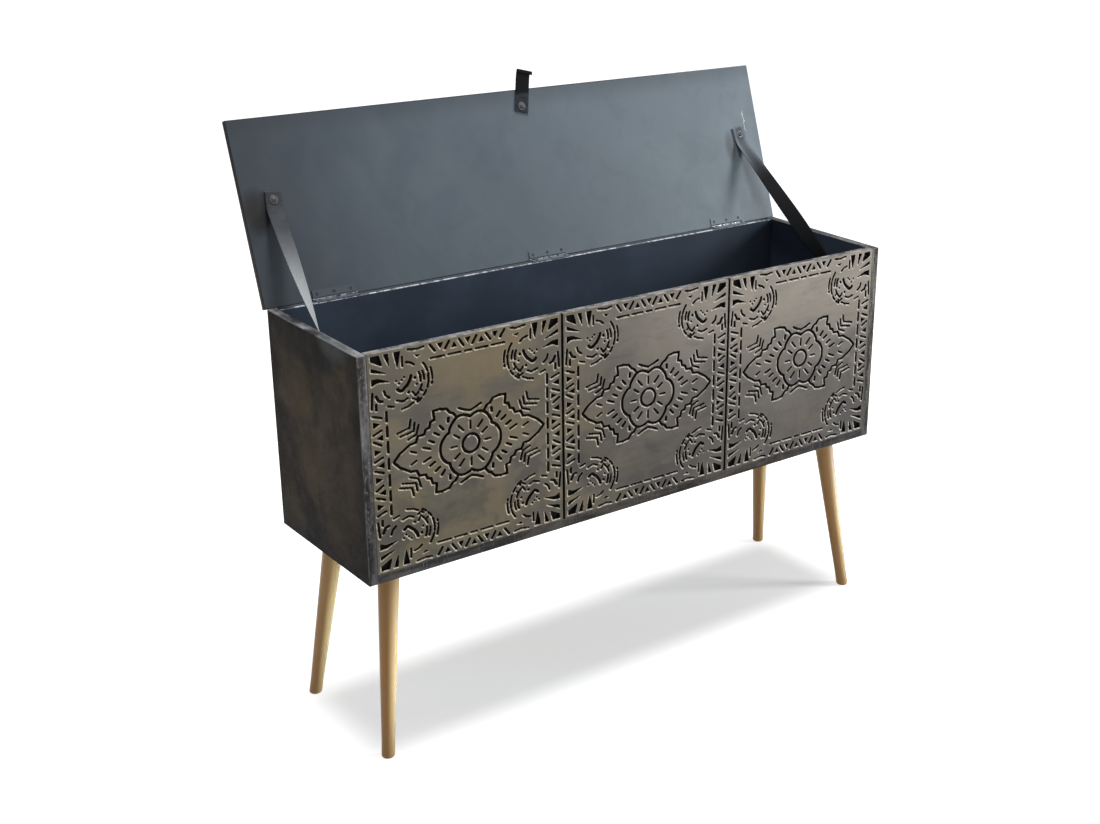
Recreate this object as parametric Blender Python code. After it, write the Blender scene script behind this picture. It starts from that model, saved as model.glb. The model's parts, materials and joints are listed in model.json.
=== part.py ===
"""Storage chest: a long box on four splayed turned legs, standing with its hinged lid open.

The front is three pierced and carved panels in front of a plain board. The lid leans back past
upright, held by two webbing straps that are screwed flat to the lid and flat to the side walls.

Lengths are in metres and angles in degrees. X runs along the width, Y from the front to the back
and Z up. The floor is Z = 0.
"""

import math

import bmesh
import bpy
from mathutils import Euler, Matrix, Vector

# The box
BOX_WIDTH = 1.100
BOX_DEPTH = 0.300
BOX_HEIGHT = 0.380
BOARD = 0.016
BOARD_EASE = 0.0008
HOUSING_DEPTH = 0.003
FIT = 0.0003

# The front: a plain board with three carved panels on it
CARVED_THICKNESS = 0.007
PANEL_COUNT = 3
PANEL_GROOVE = 0.005

# The lid
LID_THICKNESS = 0.010
LID_SIDE_OVERHANG = 0.0035
LID_FRONT_OVERHANG = 0.0052
LID_BACK_OVERHANG = 0.0020
LID_LEAN = 18.5
LID_EASE = 0.0012

# The butt hinges
HINGE_COUNT = 3
HINGE_SIDE_INSET = 0.122
HINGE_LENGTH = 0.078
HINGE_SETBACK = 0.0004
HINGE_LEAF_REACH = 0.0148
HINGE_LEAF_THICKNESS = 0.0013
HINGE_LEAF_GAP = 0.0010
HINGE_BARREL_RADIUS = 0.0019
HINGE_KNUCKLES = 5
HINGE_PIN_RADIUS = 0.0009
HINGE_PIN_CLEARANCE = 0.0001
HINGE_PIN_HEAD_RADIUS = 0.0016
HINGE_PIN_HEAD = 0.0010
HINGE_SCREW_SPACING = 0.031
HINGE_SCREW_FROM_PIN = 0.0085
HINGE_SCREW_HOLE = 0.0018

# The legs
LEG_HEIGHT = 0.328
LEG_SIDE_INSET = 0.0663
LEG_END_INSET = 0.0596
LEG_SPLAY_SIDE = 0.0402
LEG_SPLAY_END = 0.0397
LEG_TOP_RADIUS = 0.0180
LEG_FOOT_RADIUS = 0.0112
LEG_TOP_EASE = 0.0012
FOOT_ROUND_HEIGHT = 0.0040
FOOT_FLAT_RADIUS = 0.0082

# The angled steel plates and the bolts that hold the legs
PLATE_SIZE = 0.062
PLATE_THICKNESS = 0.0025
PLATE_CORNER = 0.007
PLATE_SCREW_INSET = 0.0085
PLATE_SCREW_HOLE = 0.0023
BOSS_LENGTH = 0.0090
BOLT_RADIUS = 0.0040
BOLT_IN_LEG = 0.030
BOLT_TOP_SETBACK = 0.0020

# The dowels between the sides and the boards that run across
DOWEL_RADIUS = 0.0040
DOWEL_LENGTH = 0.030
DOWEL_IN_SIDE = 0.010
DOWEL_END_INSET = 0.055

# The straps that stop the lid
STRAP_WIDTH = 0.028
STRAP_THICKNESS = 0.0016
STRAP_LID_INSET = 0.050
STRAP_LID_REACH = 0.170
STRAP_WALL_SETBACK = 0.1135
STRAP_WALL_DROP = 0.060
STRAP_TAIL = 0.0125
STRAP_FLAT = 0.016
STRAP_FOLD_GAP = 0.0005
STRAP_BEND_LENGTH = 0.010
STRAP_BEND_STEPS = 3
STRAP_STATIONS = 18
STRAP_TWIST_POWER = 1.6

# The leather pull tab
TAB_WIDTH = 0.028
TAB_THICKNESS = 0.0020
TAB_OFFSET = 0.006
TAB_FROM_FRONT = 0.031
TAB_TAIL = 0.0105
TAB_REACH = 0.064
TAB_SKEW = 15.0
TAB_HEM = 0.008
TAB_HEM_GAP = 0.0005

# The screws and washers of the straps and the tab
SCREW_HEAD_RADIUS = 0.0042
SCREW_HEAD_HEIGHT = 0.0022
SCREW_SHANK_RADIUS = 0.0016
SCREW_IN_BOARD = 0.0065
WASHER_RADIUS = 0.0075
WASHER_THICKNESS = 0.0008

# The carving, whose places and sizes are shares of the carved field's half width and half height
FIELD_SIDE_MARGIN = 0.0063
FIELD_END_MARGIN = 0.0030
GROOVE_DEPTH = 0.0025
GROOVE_WIDTH = 0.0034
RING_SHARE = 0.087
FLOWER_NOTCH_SHARE = 0.268
FLOWER_PETAL_SHARE = 0.042
FLOWER_PETALS = 6
FLOWER_SQUASH = 0.95
FAN_WEDGES = 5
FAN_HUB = (0.735, 0.750)
FAN_WEDGE_ANGLE = 13.0
FAN_INNER_SHARE = 0.112
FAN_CORNER_SHARE = 0.078
BORDER_PITCH_SHARE = 0.134
BORDER_BASE_SHARE = 0.063
BORDER_DEPTH_SHARE = 0.059
BORDER_STEP_SHARE = 0.017
BORDER_TOP_COUNT = 5
BORDER_SIDE_COUNT = 7
LEAF_TIP = (0.824, 0.0)
LEAF_EDGE = (
    (0.712, 0.058),
    (0.600, 0.117),
    (0.606, 0.156),
    (0.512, 0.173),
    (0.447, 0.212),
    (0.435, 0.268),
    (0.388, 0.285),
    (0.406, 0.369),
    (0.318, 0.380),
    (0.259, 0.341),
    (0.206, 0.334),
)
BROW_POINTS = ((-0.140, 0.352), (0.0, 0.302), (0.140, 0.352))

# How finely round things are drawn
TURNED_SIDES = 24
HOLE_SIDES = 12
SMALL_HOLE_SIDES = 8
BORE_SIDES = 16
BARREL_SIDES = 12
RING_SIDES = 24
FLOWER_POINTS = 36
DOME_STEPS = 3
FOLD_STEPS = 4

# Sizes that follow from the ones above
RIM = LEG_HEIGHT + BOX_HEIGHT
BOX_HALF = BOX_WIDTH / 2
INNER_HALF = BOX_HALF - BOARD
FRONT_FACE = -BOX_DEPTH / 2
BACK_FACE = BOX_DEPTH / 2
FLOOR_TOP = LEG_HEIGHT + BOARD
PIVOT_RISE = FIT + HINGE_BARREL_RADIUS
PIVOT = Vector((0.0, BACK_FACE - HINGE_SETBACK, RIM + PIVOT_RISE))
LID_TAIL = LID_BACK_OVERHANG + HINGE_SETBACK
LID_DEPTH = BOX_DEPTH + LID_FRONT_OVERHANG + LID_BACK_OVERHANG
LID_OPENING = 90.0 + LID_LEAN
LEG_MOUNT_X = BOX_HALF - LEG_SIDE_INSET
LEG_MOUNT_Y = BOX_DEPTH / 2 - LEG_END_INSET
SCREW_HOLE_RADIUS = SCREW_SHANK_RADIUS + FIT
STRAP_LAYER_STEP = STRAP_THICKNESS + STRAP_FOLD_GAP


def clear_scene():
    """Start from nothing."""
    for obj in list(bpy.data.objects):
        bpy.data.objects.remove(obj, do_unlink=True)


def make_material(name, colour, roughness, metallic=0.0):
    """A plain Principled material."""
    mat = bpy.data.materials.new(name)
    mat.use_nodes = True
    shader = mat.node_tree.nodes["Principled BSDF"]
    shader.inputs["Base Color"].default_value = (*colour, 1.0)
    shader.inputs["Roughness"].default_value = roughness
    shader.inputs["Metallic"].default_value = metallic
    mat.diffuse_color = (*colour, 1.0)
    return mat


def side_paint():
    return make_material("side_paint", (0.030, 0.024, 0.018), 0.48)


def inner_paint():
    return make_material("inner_paint", (0.020, 0.023, 0.032), 0.60)


def carved_patina():
    return make_material("carved_patina", (0.150, 0.125, 0.090), 0.42, 0.30)


def lid_paint():
    return make_material("lid_paint", (0.090, 0.112, 0.130), 0.40)


def hinge_steel():
    return make_material("hinge_steel", (0.30, 0.33, 0.36), 0.38, 0.85)


def pin_steel():
    return make_material("pin_steel", (0.55, 0.56, 0.58), 0.30, 0.95)


def strap_webbing():
    return make_material("strap_webbing", (0.085, 0.090, 0.095), 0.75)


def tab_leather():
    return make_material("tab_leather", (0.012, 0.011, 0.011), 0.62)


def screw_steel():
    return make_material("screw_steel", (0.22, 0.24, 0.26), 0.35, 0.90)


def leg_beech():
    return make_material("leg_beech", (0.62, 0.44, 0.27), 0.45)


def plate_steel():
    return make_material("plate_steel", (0.05, 0.05, 0.055), 0.40, 0.80)


def dowel_wood():
    return make_material("dowel_wood", (0.60, 0.45, 0.28), 0.70)


def finish_object(name, mesh, mat, parent, place=(0.0, 0.0, 0.0), turn=None, smooth=False):
    """Link a mesh as a named object under its parent."""
    obj = bpy.data.objects.new(name, mesh)
    bpy.context.scene.collection.objects.link(obj)
    if mat is not None and not mesh.materials:
        mesh.materials.append(mat)
    obj.parent = parent
    obj.location = place
    if turn is not None:
        obj.rotation_euler = turn
    if smooth:
        mesh.shade_smooth()
        mesh.set_sharp_from_angle(angle=math.radians(32.0))
    return obj


def mesh_from(bm, name):
    """Turn a bmesh into a mesh with its faces pointing out."""
    bmesh.ops.recalc_face_normals(bm, faces=bm.faces)
    mesh = bpy.data.meshes.new(name)
    bm.to_mesh(mesh)
    bm.free()
    return mesh


def block_mesh(name, size):
    """A cuboid about its own middle."""
    bm = bmesh.new()
    bmesh.ops.create_cube(bm, size=1.0, matrix=Matrix.Diagonal((*size, 1.0)))
    return mesh_from(bm, name)


def board(name, low, high, mat, parent, ease=BOARD_EASE):
    """A flat board between two corners, with its edges eased."""
    low, high = Vector(low), Vector(high)
    obj = finish_object(name, block_mesh(name, high - low), mat, parent, (low + high) / 2)
    if ease:
        bevel = obj.modifiers.new("eased_edges", "BEVEL")
        bevel.width = ease
        bevel.segments = 1
        bevel.limit_method = "ANGLE"
    return obj


def loft_mesh(name, rings, sides_closed=True):
    """Skin a row of rings that have the same number of points, and cap both ends."""
    bm = bmesh.new()
    rows = [[bm.verts.new(point) for point in ring] for ring in rings]
    count = len(rows[0])
    last = count if sides_closed else count - 1
    for near, far in zip(rows, rows[1:]):
        for i in range(last):
            j = (i + 1) % count
            bm.faces.new((near[i], near[j], far[j], far[i]))
    bm.faces.new(rows[0])
    bm.faces.new(rows[-1])
    return mesh_from(bm, name)


def turned_mesh(name, profile, sides):
    """Spin a profile of (radius, height) points, which starts and ends on the axis, about Z."""
    bm = bmesh.new()
    chain = [bm.verts.new((radius, 0.0, height)) for radius, height in profile]
    edges = [bm.edges.new(pair) for pair in zip(chain, chain[1:])]
    bmesh.ops.spin(
        bm,
        geom=chain + edges,
        cent=(0.0, 0.0, 0.0),
        axis=(0.0, 0.0, 1.0),
        angle=math.tau,
        steps=sides,
        use_merge=True,
    )
    bmesh.ops.remove_doubles(bm, verts=bm.verts, dist=1e-6)
    return mesh_from(bm, name)


def rod_mesh(name, radius, low, high, sides):
    """A plain round rod along Z."""
    ring = [(radius * math.cos(math.tau * i / sides), radius * math.sin(math.tau * i / sides))
            for i in range(sides)]
    return loft_mesh(name, [[(x, y, z) for x, y in ring] for z in (low, high)])


def cut(obj, cutter_mesh, label, place=(0.0, 0.0, 0.0), turn=None, parent=None):
    """Cut a shape out of an object. The cutter is a wire guide with the object's own parent."""
    cutter = finish_object(f"{obj.name}_{label}", cutter_mesh, None, parent or obj.parent, place, turn)
    cut_with(obj, cutter)
    return cutter


def cut_with(obj, cutter):
    """Cut an object with a guide that may cut its neighbour too."""
    cutter.hide_render = True
    cutter.display_type = "WIRE"
    tool = obj.modifiers.new(cutter.name, "BOOLEAN")
    tool.operation = "DIFFERENCE"
    tool.solver = "EXACT"
    tool.object = cutter


def prisms_mesh(name, outlines, front, back):
    """Separate prisms along Y, one for each outline of (across, up) points."""
    bm = bmesh.new()
    for outline in outlines:
        near = [bm.verts.new((u, front, v)) for u, v in outline]
        far = [bm.verts.new((u, back, v)) for u, v in outline]
        count = len(outline)
        bm.faces.new(near)
        bm.faces.new(far)
        for i in range(count):
            j = (i + 1) % count
            bm.faces.new((near[i], near[j], far[j], far[i]))
    return mesh_from(bm, name)


def band_points(points, width, closed):
    """The two sides of a band of even width along a line of (across, up) points."""
    count = len(points)
    left, right = [], []
    for i, point in enumerate(points):
        here = Vector(point)
        before = Vector(points[i - 1]) if closed or i > 0 else here
        after = Vector(points[(i + 1) % count]) if closed or i < count - 1 else here
        into = (here - before).normalized() if before != here else None
        out = (after - here).normalized() if after != here else None
        into = into if into is not None else out
        out = out if out is not None else into
        middle = (into + out).normalized()
        normal = Vector((-middle.y, middle.x))
        spread = max(0.5, normal.dot(Vector((-into.y, into.x))))
        offset = normal * (width / 2 / spread)
        left.append(here + offset)
        right.append(here - offset)
    return left, right


def bands_mesh(name, lines, width, front, back):
    """Separate grooves of even width along Y, one for each (points, closed) line."""
    bm = bmesh.new()
    for points, closed in lines:
        left, right = band_points(points, width, closed)
        count = len(points)
        rows = []
        for u_left, u_right in zip(left, right):
            rows.append([bm.verts.new((u_left.x, front, u_left.y)),
                         bm.verts.new((u_right.x, front, u_right.y)),
                         bm.verts.new((u_right.x, back, u_right.y)),
                         bm.verts.new((u_left.x, back, u_left.y))])
        for i in range(count if closed else count - 1):
            here, after = rows[i], rows[(i + 1) % count]
            for k in range(4):
                m = (k + 1) % 4
                bm.faces.new((here[k], here[m], after[m], after[k]))
        if not closed:
            bm.faces.new(rows[0])
            bm.faces.new(rows[-1])
    return mesh_from(bm, name)


def mirrored_four_ways(outlines):
    """Copies of outlines in all four quarters of the field."""
    copies = []
    for side in (1, -1):
        for end in (1, -1):
            copies += [[(side * u, end * v) for u, v in outline] for outline in outlines]
    return copies


def fan_outlines(half_u, half_v):
    """The pierced wedges that fan out from a hub into the upper right corner of the field."""
    hub_u, hub_v = FAN_HUB[0] * half_u, FAN_HUB[1] * half_v
    corner = math.degrees(math.atan2(half_v - hub_v, half_u - hub_u))

    def on_edge(angle):
        c, s = math.cos(math.radians(angle)), math.sin(math.radians(angle))
        reach = min((half_u - hub_u) / c if c > 1e-6 else 1e9, (half_v - hub_v) / s if s > 1e-6 else 1e9)
        return (hub_u + reach * c, hub_v + reach * s)

    outlines = []
    for i in range(FAN_WEDGES):
        middle = 90.0 * i / (FAN_WEDGES - 1)
        low, high = middle - FAN_WEDGE_ANGLE / 2, middle + FAN_WEDGE_ANGLE / 2
        slant = 1.0 - abs(middle - 45.0) / 45.0
        inner = (FAN_INNER_SHARE + FAN_CORNER_SHARE * slant) * half_v
        inward = []
        for share in (0.62, 0.38):
            angle = math.radians(low + share * (high - low))
            inward.append((hub_u + inner * math.cos(angle), hub_v + inner * math.sin(angle)))
        outward = [on_edge(low)]
        if low < corner < high:
            outward.append((half_u, half_v))
        outward.append(on_edge(high))
        outlines.append(inward[1:] + outward + inward[:1])
    return outlines


def border_outlines(half_u, half_v):
    """The pierced triangles along the four edges, which point in and out by turns."""
    outlines = []
    for count, edge, length, across in ((BORDER_TOP_COUNT, half_v, half_u, False),
                                        (BORDER_SIDE_COUNT, half_u, half_v, True)):
        deep, step = BORDER_DEPTH_SHARE * edge, BORDER_STEP_SHARE * edge
        half_base = BORDER_BASE_SHARE * length / 2
        for i in range(count):
            from_middle = i - count // 2
            along = from_middle * BORDER_PITCH_SHARE * length
            outside = (from_middle % 2 == 0) != across
            base = edge if outside else edge - step - deep
            tip = edge - deep if outside else edge - step
            shape = [(along - half_base, base), (along + half_base, base), (along, tip)]
            for end in (1, -1):
                flipped = [(u, end * v) for u, v in shape]
                outlines.append([(v, u) for u, v in flipped] if across else flipped)
    return outlines


def flower_line(half_v):
    """The outline of the six-petalled flower."""
    points = []
    for i in range(FLOWER_POINTS):
        angle = math.tau * i / FLOWER_POINTS
        petal = FLOWER_PETAL_SHARE * abs(math.cos(angle * FLOWER_PETALS / 2))
        reach = (FLOWER_NOTCH_SHARE + petal) * half_v
        points.append((reach * math.cos(angle), FLOWER_SQUASH * reach * math.sin(angle)))
    return points


def ring_line(half_v):
    """The circle in the middle of the flower."""
    radius = RING_SHARE * half_v
    return [(radius * math.cos(math.tau * i / RING_SIDES), radius * math.sin(math.tau * i / RING_SIDES))
            for i in range(RING_SIDES)]


def leaf_lines(half_u, half_v):
    """The lobed leaves left and right of the flower, each one line round its tip."""
    upper = [(u * half_u, v * half_v) for u, v in reversed(LEAF_EDGE)]
    tip = (LEAF_TIP[0] * half_u, LEAF_TIP[1] * half_v)
    lower = [(u, -v) for u, v in reversed(upper)]
    right = upper + [tip] + lower
    return [right, [(-u, v) for u, v in right]]


def brow_lines(half_u, half_v):
    """The shallow chevrons above and below the flower."""
    upper = [(u * half_u, v * half_v) for u, v in BROW_POINTS]
    return [upper, [(u, -v) for u, v in upper]]


def carved_panel_mesh(size, mat):
    """One panel: pierced fans and triangles, and grooves for the flower, its ring and its leaves."""
    width, thickness, height = size
    half_u = width / 2 - FIELD_SIDE_MARGIN
    half_v = height / 2 - FIELD_END_MARGIN
    blank = finish_object("panel_blank", block_mesh("panel_blank", size), mat, None)
    pierced = mirrored_four_ways(fan_outlines(half_u, half_v)) + border_outlines(half_u, half_v)
    cut(blank, prisms_mesh("piercing", pierced, -thickness, thickness), "piercing")
    lines = [(flower_line(half_v), True), (ring_line(half_v), True)]
    lines += [(line, False) for line in leaf_lines(half_u, half_v)]
    lines += [(line, False) for line in brow_lines(half_u, half_v)]
    bottom = GROOVE_DEPTH - thickness / 2
    cut(blank, bands_mesh("grooves", lines, GROOVE_WIDTH, -thickness, bottom), "grooves")
    bpy.context.view_layer.update()
    done = blank.evaluated_get(bpy.context.evaluated_depsgraph_get())
    mesh = bpy.data.meshes.new_from_object(done)
    for obj in list(bpy.data.objects):
        if obj.name.startswith("panel_blank"):
            bpy.data.objects.remove(obj, do_unlink=True)
    return mesh


def build_carved_panels(parent):
    """Three equal panels with a dark groove between neighbours, flush with the sides' front edges."""
    mat = carved_patina()
    grooves = (PANEL_COUNT - 1) * PANEL_GROOVE
    width = (2 * (INNER_HALF - FIT) - grooves) / PANEL_COUNT
    height = RIM - FLOOR_TOP - FIT
    mesh = carved_panel_mesh((width, CARVED_THICKNESS, height), mat)
    mesh.name = "carved_panel"
    y = FRONT_FACE + CARVED_THICKNESS / 2
    z = RIM - height / 2
    for i, label in enumerate(("left", "centre", "right")):
        x = (i - (PANEL_COUNT - 1) / 2) * (width + PANEL_GROOVE)
        finish_object(f"carved_panel_{label}", mesh, mat, parent, (x, y, z))


def build_carcass(parent):
    """The sides, the bottom, the back and the plain board behind the carved panels."""
    outside, inside = side_paint(), inner_paint()
    boards = {}
    for side, label in ((-1, "left"), (1, "right")):
        inner, outer = sorted((side * INNER_HALF, side * BOX_HALF))
        boards[label] = board(f"{label}_side", (inner, FRONT_FACE, LEG_HEIGHT),
                              (outer, BACK_FACE, RIM), outside, parent)
    reach = INNER_HALF - FIT
    boards["bottom"] = board("bottom_board", (-reach, FRONT_FACE, LEG_HEIGHT),
                             (reach, BACK_FACE, FLOOR_TOP), outside, parent)
    seat = FLOOR_TOP - HOUSING_DEPTH + FIT
    boards["back"] = board("back_board", (-reach, BACK_FACE - BOARD, seat),
                           (reach, BACK_FACE, RIM), inside, parent)
    boards["front"] = board("front_board", (-reach, FRONT_FACE + CARVED_THICKNESS + FIT, seat),
                            (reach, FRONT_FACE + BOARD, RIM), inside, parent)
    house(boards["bottom"], "front_housing", FRONT_FACE + CARVED_THICKNESS, FRONT_FACE + BOARD + FIT)
    house(boards["bottom"], "back_housing", BACK_FACE - BOARD - FIT, BACK_FACE + FIT)
    return boards


def house(bottom, label, near, far):
    """A shallow housing across the top of the bottom board, in which an upright board stands."""
    slot = block_mesh("housing", (BOX_WIDTH, far - near, 2 * HOUSING_DEPTH))
    cut(bottom, slot, label, (0.0, (near + far) / 2, FLOOR_TOP))


def build_dowels(boards, parent):
    """Glued dowels that join each side to the bottom and to the back."""
    mat = dowel_wood()
    bottom_middle = LEG_HEIGHT + BOARD / 2
    back_middle = BACK_FACE - BOARD / 2
    seats = {
        "bottom_front": ("bottom", FRONT_FACE + DOWEL_END_INSET, bottom_middle),
        "bottom_rear": ("bottom", BACK_FACE - DOWEL_END_INSET, bottom_middle),
        "back_low": ("back", back_middle, FLOOR_TOP + DOWEL_END_INSET),
        "back_high": ("back", back_middle, RIM - DOWEL_END_INSET),
    }
    for side, label in ((-1, "left"), (1, "right")):
        middle = side * (INNER_HALF + DOWEL_IN_SIDE - DOWEL_LENGTH / 2)
        for seat, (across, y, z) in seats.items():
            name = f"dowel_{label}_{seat}"
            half = DOWEL_LENGTH / 2
            turn = Euler((0.0, math.pi / 2, 0.0))
            finish_object(name, rod_mesh(name, DOWEL_RADIUS, -half, half, HOLE_SIDES), mat, parent,
                          (middle, y, z), turn, smooth=True)
            hole = rod_mesh("dowel_hole", DOWEL_RADIUS + FIT, -half - FIT, half + FIT, HOLE_SIDES)
            cutter = cut(boards[label], hole, f"hole_{seat}", (middle, y, z), turn)
            cut_with(boards[across], cutter)


def leg_frame(side, end):
    """Where a leg meets the underside, and the turn that lays its own Z along it."""
    top = Vector((side * LEG_MOUNT_X, end * LEG_MOUNT_Y, LEG_HEIGHT))
    foot = Vector((side * (LEG_MOUNT_X + LEG_SPLAY_SIDE), end * (LEG_MOUNT_Y + LEG_SPLAY_END), 0.0))
    turn = Vector((0.0, 0.0, -1.0)).rotation_difference(foot - top)
    return top, turn


def round_ring(radius, depth, sides):
    """A ring square to the leg's axis, at a depth below the leg's mounting point."""
    return [(radius * math.cos(math.tau * i / sides), radius * math.sin(math.tau * i / sides), -depth)
            for i in range(sides)]


def level_ring(radius, height, turn, sides):
    """A ring round the leg's axis that lies level, at a height measured from the mounting point."""
    up = turn.inverted() @ Vector((0.0, 0.0, 1.0))
    ring = []
    for x, y, _ in round_ring(radius, 0.0, sides):
        ring.append((x, y, (height - x * up.x - y * up.y) / up.z))
    return ring


def leg_mesh(name, turn):
    """A tapered turned leg: a bored top square to its axis, and a level foot with a rounded edge."""
    top = BOSS_LENGTH + FIT
    bore = BOLT_RADIUS + FIT
    foot = -LEG_HEIGHT
    rings = [
        round_ring(bore, top + BOLT_IN_LEG + FIT, TURNED_SIDES),
        round_ring(bore, top, TURNED_SIDES),
        round_ring(LEG_TOP_RADIUS - LEG_TOP_EASE, top, TURNED_SIDES),
        round_ring(LEG_TOP_RADIUS, top + LEG_TOP_EASE, TURNED_SIDES),
        level_ring(LEG_FOOT_RADIUS, foot + FOOT_ROUND_HEIGHT, turn, TURNED_SIDES),
        level_ring((LEG_FOOT_RADIUS * 2 + FOOT_FLAT_RADIUS) / 3, foot + FOOT_ROUND_HEIGHT / 3, turn,
                   TURNED_SIDES),
        level_ring(FOOT_FLAT_RADIUS, foot, turn, TURNED_SIDES),
    ]
    return loft_mesh(name, rings)


def rounded_square(half, corner, height, points):
    """A level square outline with rounded corners."""
    ring = []
    for quarter in range(4):
        start = quarter * math.pi / 2
        cx = (half - corner) * (1 if quarter in (0, 3) else -1)
        cy = (half - corner) * (1 if quarter in (0, 1) else -1)
        for i in range(points):
            angle = start + (math.pi / 2) * i / (points - 1)
            ring.append((cx + corner * math.cos(angle), cy + corner * math.sin(angle), height))
    return ring


def build_leg_plate(name, top, turn, mat, parent):
    """A square plate with an oblique boss, threaded through for the leg's bolt."""
    half = PLATE_SIZE / 2
    outline = [rounded_square(half, PLATE_CORNER, z, 4) for z in (-FIT, -FIT - PLATE_THICKNESS)]
    plate = finish_object(name, loft_mesh(name, outline), mat, parent, top, smooth=True)
    tilt = turn.to_matrix()
    rings = [level_ring(LEG_TOP_RADIUS - LEG_TOP_EASE, -FIT - PLATE_THICKNESS / 2, turn, TURNED_SIDES),
             round_ring(LEG_TOP_RADIUS - LEG_TOP_EASE, BOSS_LENGTH, TURNED_SIDES)]
    boss = finish_object(f"{name}_boss", loft_mesh("boss", [[tilt @ Vector(p) for p in r] for r in rings]),
                         None, parent, top)
    boss.hide_render = True
    boss.display_type = "WIRE"
    join = plate.modifiers.new("boss", "BOOLEAN")
    join.operation = "UNION"
    join.solver = "EXACT"
    join.object = boss
    bore = rod_mesh("bore", BOLT_RADIUS + FIT, -BOSS_LENGTH * 2, BOSS_LENGTH, HOLE_SIDES)
    cut(plate, bore, "bore", top, turn.to_euler())
    corner = half - PLATE_SCREW_INSET
    for i, (x, y) in enumerate(((1, 1), (-1, 1), (-1, -1), (1, -1))):
        hole = rod_mesh("screw_hole", PLATE_SCREW_HOLE, -BOSS_LENGTH, BOSS_LENGTH, SMALL_HOLE_SIDES)
        cut(plate, hole, f"screw_hole_{i}", top + Vector((x * corner, y * corner, 0.0)))


def build_legs(parent):
    """Four legs, splayed to the sides and to the ends, on their plates and bolts."""
    beech, plate, bolt = leg_beech(), plate_steel(), screw_steel()
    for end, end_name in ((-1, "front"), (1, "rear")):
        for side, side_name in ((-1, "left"), (1, "right")):
            label = f"{end_name}_{side_name}"
            top, turn = leg_frame(side, end)
            finish_object(f"leg_{label}", leg_mesh(f"leg_{label}", turn), beech, parent, top,
                          turn.to_euler(), smooth=True)
            build_leg_plate(f"leg_plate_{label}", top, turn, plate, parent)
            low = -(BOSS_LENGTH + FIT + BOLT_IN_LEG)
            finish_object(f"leg_bolt_{label}",
                          rod_mesh(f"leg_bolt_{label}", BOLT_RADIUS, low, -BOLT_TOP_SETBACK, HOLE_SIDES),
                          bolt, parent, top, turn.to_euler(), smooth=True)


def hinge_section(flip):
    """A leaf's cross section as (back, up) points round the pin's axis: the flat leaf and its barrel."""
    inner = HINGE_LEAF_GAP / 2
    outer = inner + HINGE_LEAF_THICKNESS
    radius = HINGE_BARREL_RADIUS
    start = math.pi + math.asin(inner / radius)
    stop = -math.pi + math.asin(outer / radius)
    points = [(-HINGE_LEAF_REACH, -outer), (-HINGE_LEAF_REACH, -inner)]
    for i in range(BARREL_SIDES):
        angle = start + (stop - start) * i / (BARREL_SIDES - 1)
        points.append((radius * math.cos(angle), radius * math.sin(angle)))
    return [(y, flip * z) for y, z in points]


def hinge_leaf(name, mat, parent, place, on_lid):
    """A leaf whose knuckles take every other place along the barrel."""
    section = hinge_section(-1.0 if on_lid else 1.0)
    half = HINGE_LENGTH / 2
    mesh = loft_mesh(name, [[(x, y, z) for y, z in section] for x in (-half, half)])
    leaf = finish_object(name, mesh, mat, parent, place, smooth=True)
    knuckle = HINGE_LENGTH / HINGE_KNUCKLES
    wide = HINGE_BARREL_RADIUS + FIT
    for i in range(HINGE_KNUCKLES):
        if (i % 2 == 0) == on_lid:
            continue
        low = -half + i * knuckle - (FIT / 2 if i > 0 else wide)
        high = -half + (i + 1) * knuckle + (FIT / 2 if i < HINGE_KNUCKLES - 1 else wide)
        gap = block_mesh("knuckle_gap", (high - low, 2 * wide, 2 * wide))
        cut(leaf, gap, f"gap_{i}", Vector(place) + Vector(((low + high) / 2, 0.0, 0.0)))
    turn = Euler((0.0, math.pi / 2, 0.0))
    bore = rod_mesh("bore", HINGE_PIN_RADIUS + HINGE_PIN_CLEARANCE, -HINGE_LENGTH, HINGE_LENGTH,
                    BARREL_SIDES)
    cut(leaf, bore, "bore", place, turn)
    for i in (-1, 0, 1):
        hole = rod_mesh("screw_hole", HINGE_SCREW_HOLE, -HINGE_BARREL_RADIUS, HINGE_BARREL_RADIUS,
                        SMALL_HOLE_SIDES)
        spot = Vector(place) + Vector((i * HINGE_SCREW_SPACING, -HINGE_SCREW_FROM_PIN, 0.0))
        cut(leaf, hole, f"screw_hole_{i + 1}", spot)


def hinge_pin_mesh(name):
    """A pin with a low head at each end."""
    half = HINGE_LENGTH / 2
    seat = half + FIT
    end = seat + HINGE_PIN_HEAD
    profile = [(0.0, end), (HINGE_PIN_HEAD_RADIUS * 0.7, end), (HINGE_PIN_HEAD_RADIUS, end - HINGE_PIN_HEAD / 2),
               (HINGE_PIN_HEAD_RADIUS, seat), (HINGE_PIN_RADIUS, seat)]
    profile += [(radius, -height) for radius, height in reversed(profile)]
    return turned_mesh(name, profile, HOLE_SIDES)


def build_hinges(chest, lid):
    """Butt hinges along the back edge, one leaf on the rim and one on the lid's underside."""
    steel, pin = hinge_steel(), pin_steel()
    span = 2 * (BOX_HALF - HINGE_SIDE_INSET)
    for i, label in enumerate(("left", "centre", "right")):
        x = -span / 2 + span * i / (HINGE_COUNT - 1)
        place = PIVOT + Vector((x, 0.0, 0.0))
        hinge_leaf(f"hinge_{label}_rim_leaf", steel, chest, place, on_lid=False)
        hinge_leaf(f"hinge_{label}_lid_leaf", steel, lid, Vector((x, 0.0, 0.0)), on_lid=True)
        name = f"hinge_{label}_pin"
        finish_object(name, hinge_pin_mesh(name), pin, chest, place, Euler((0.0, math.pi / 2, 0.0)),
                      smooth=True)


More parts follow.
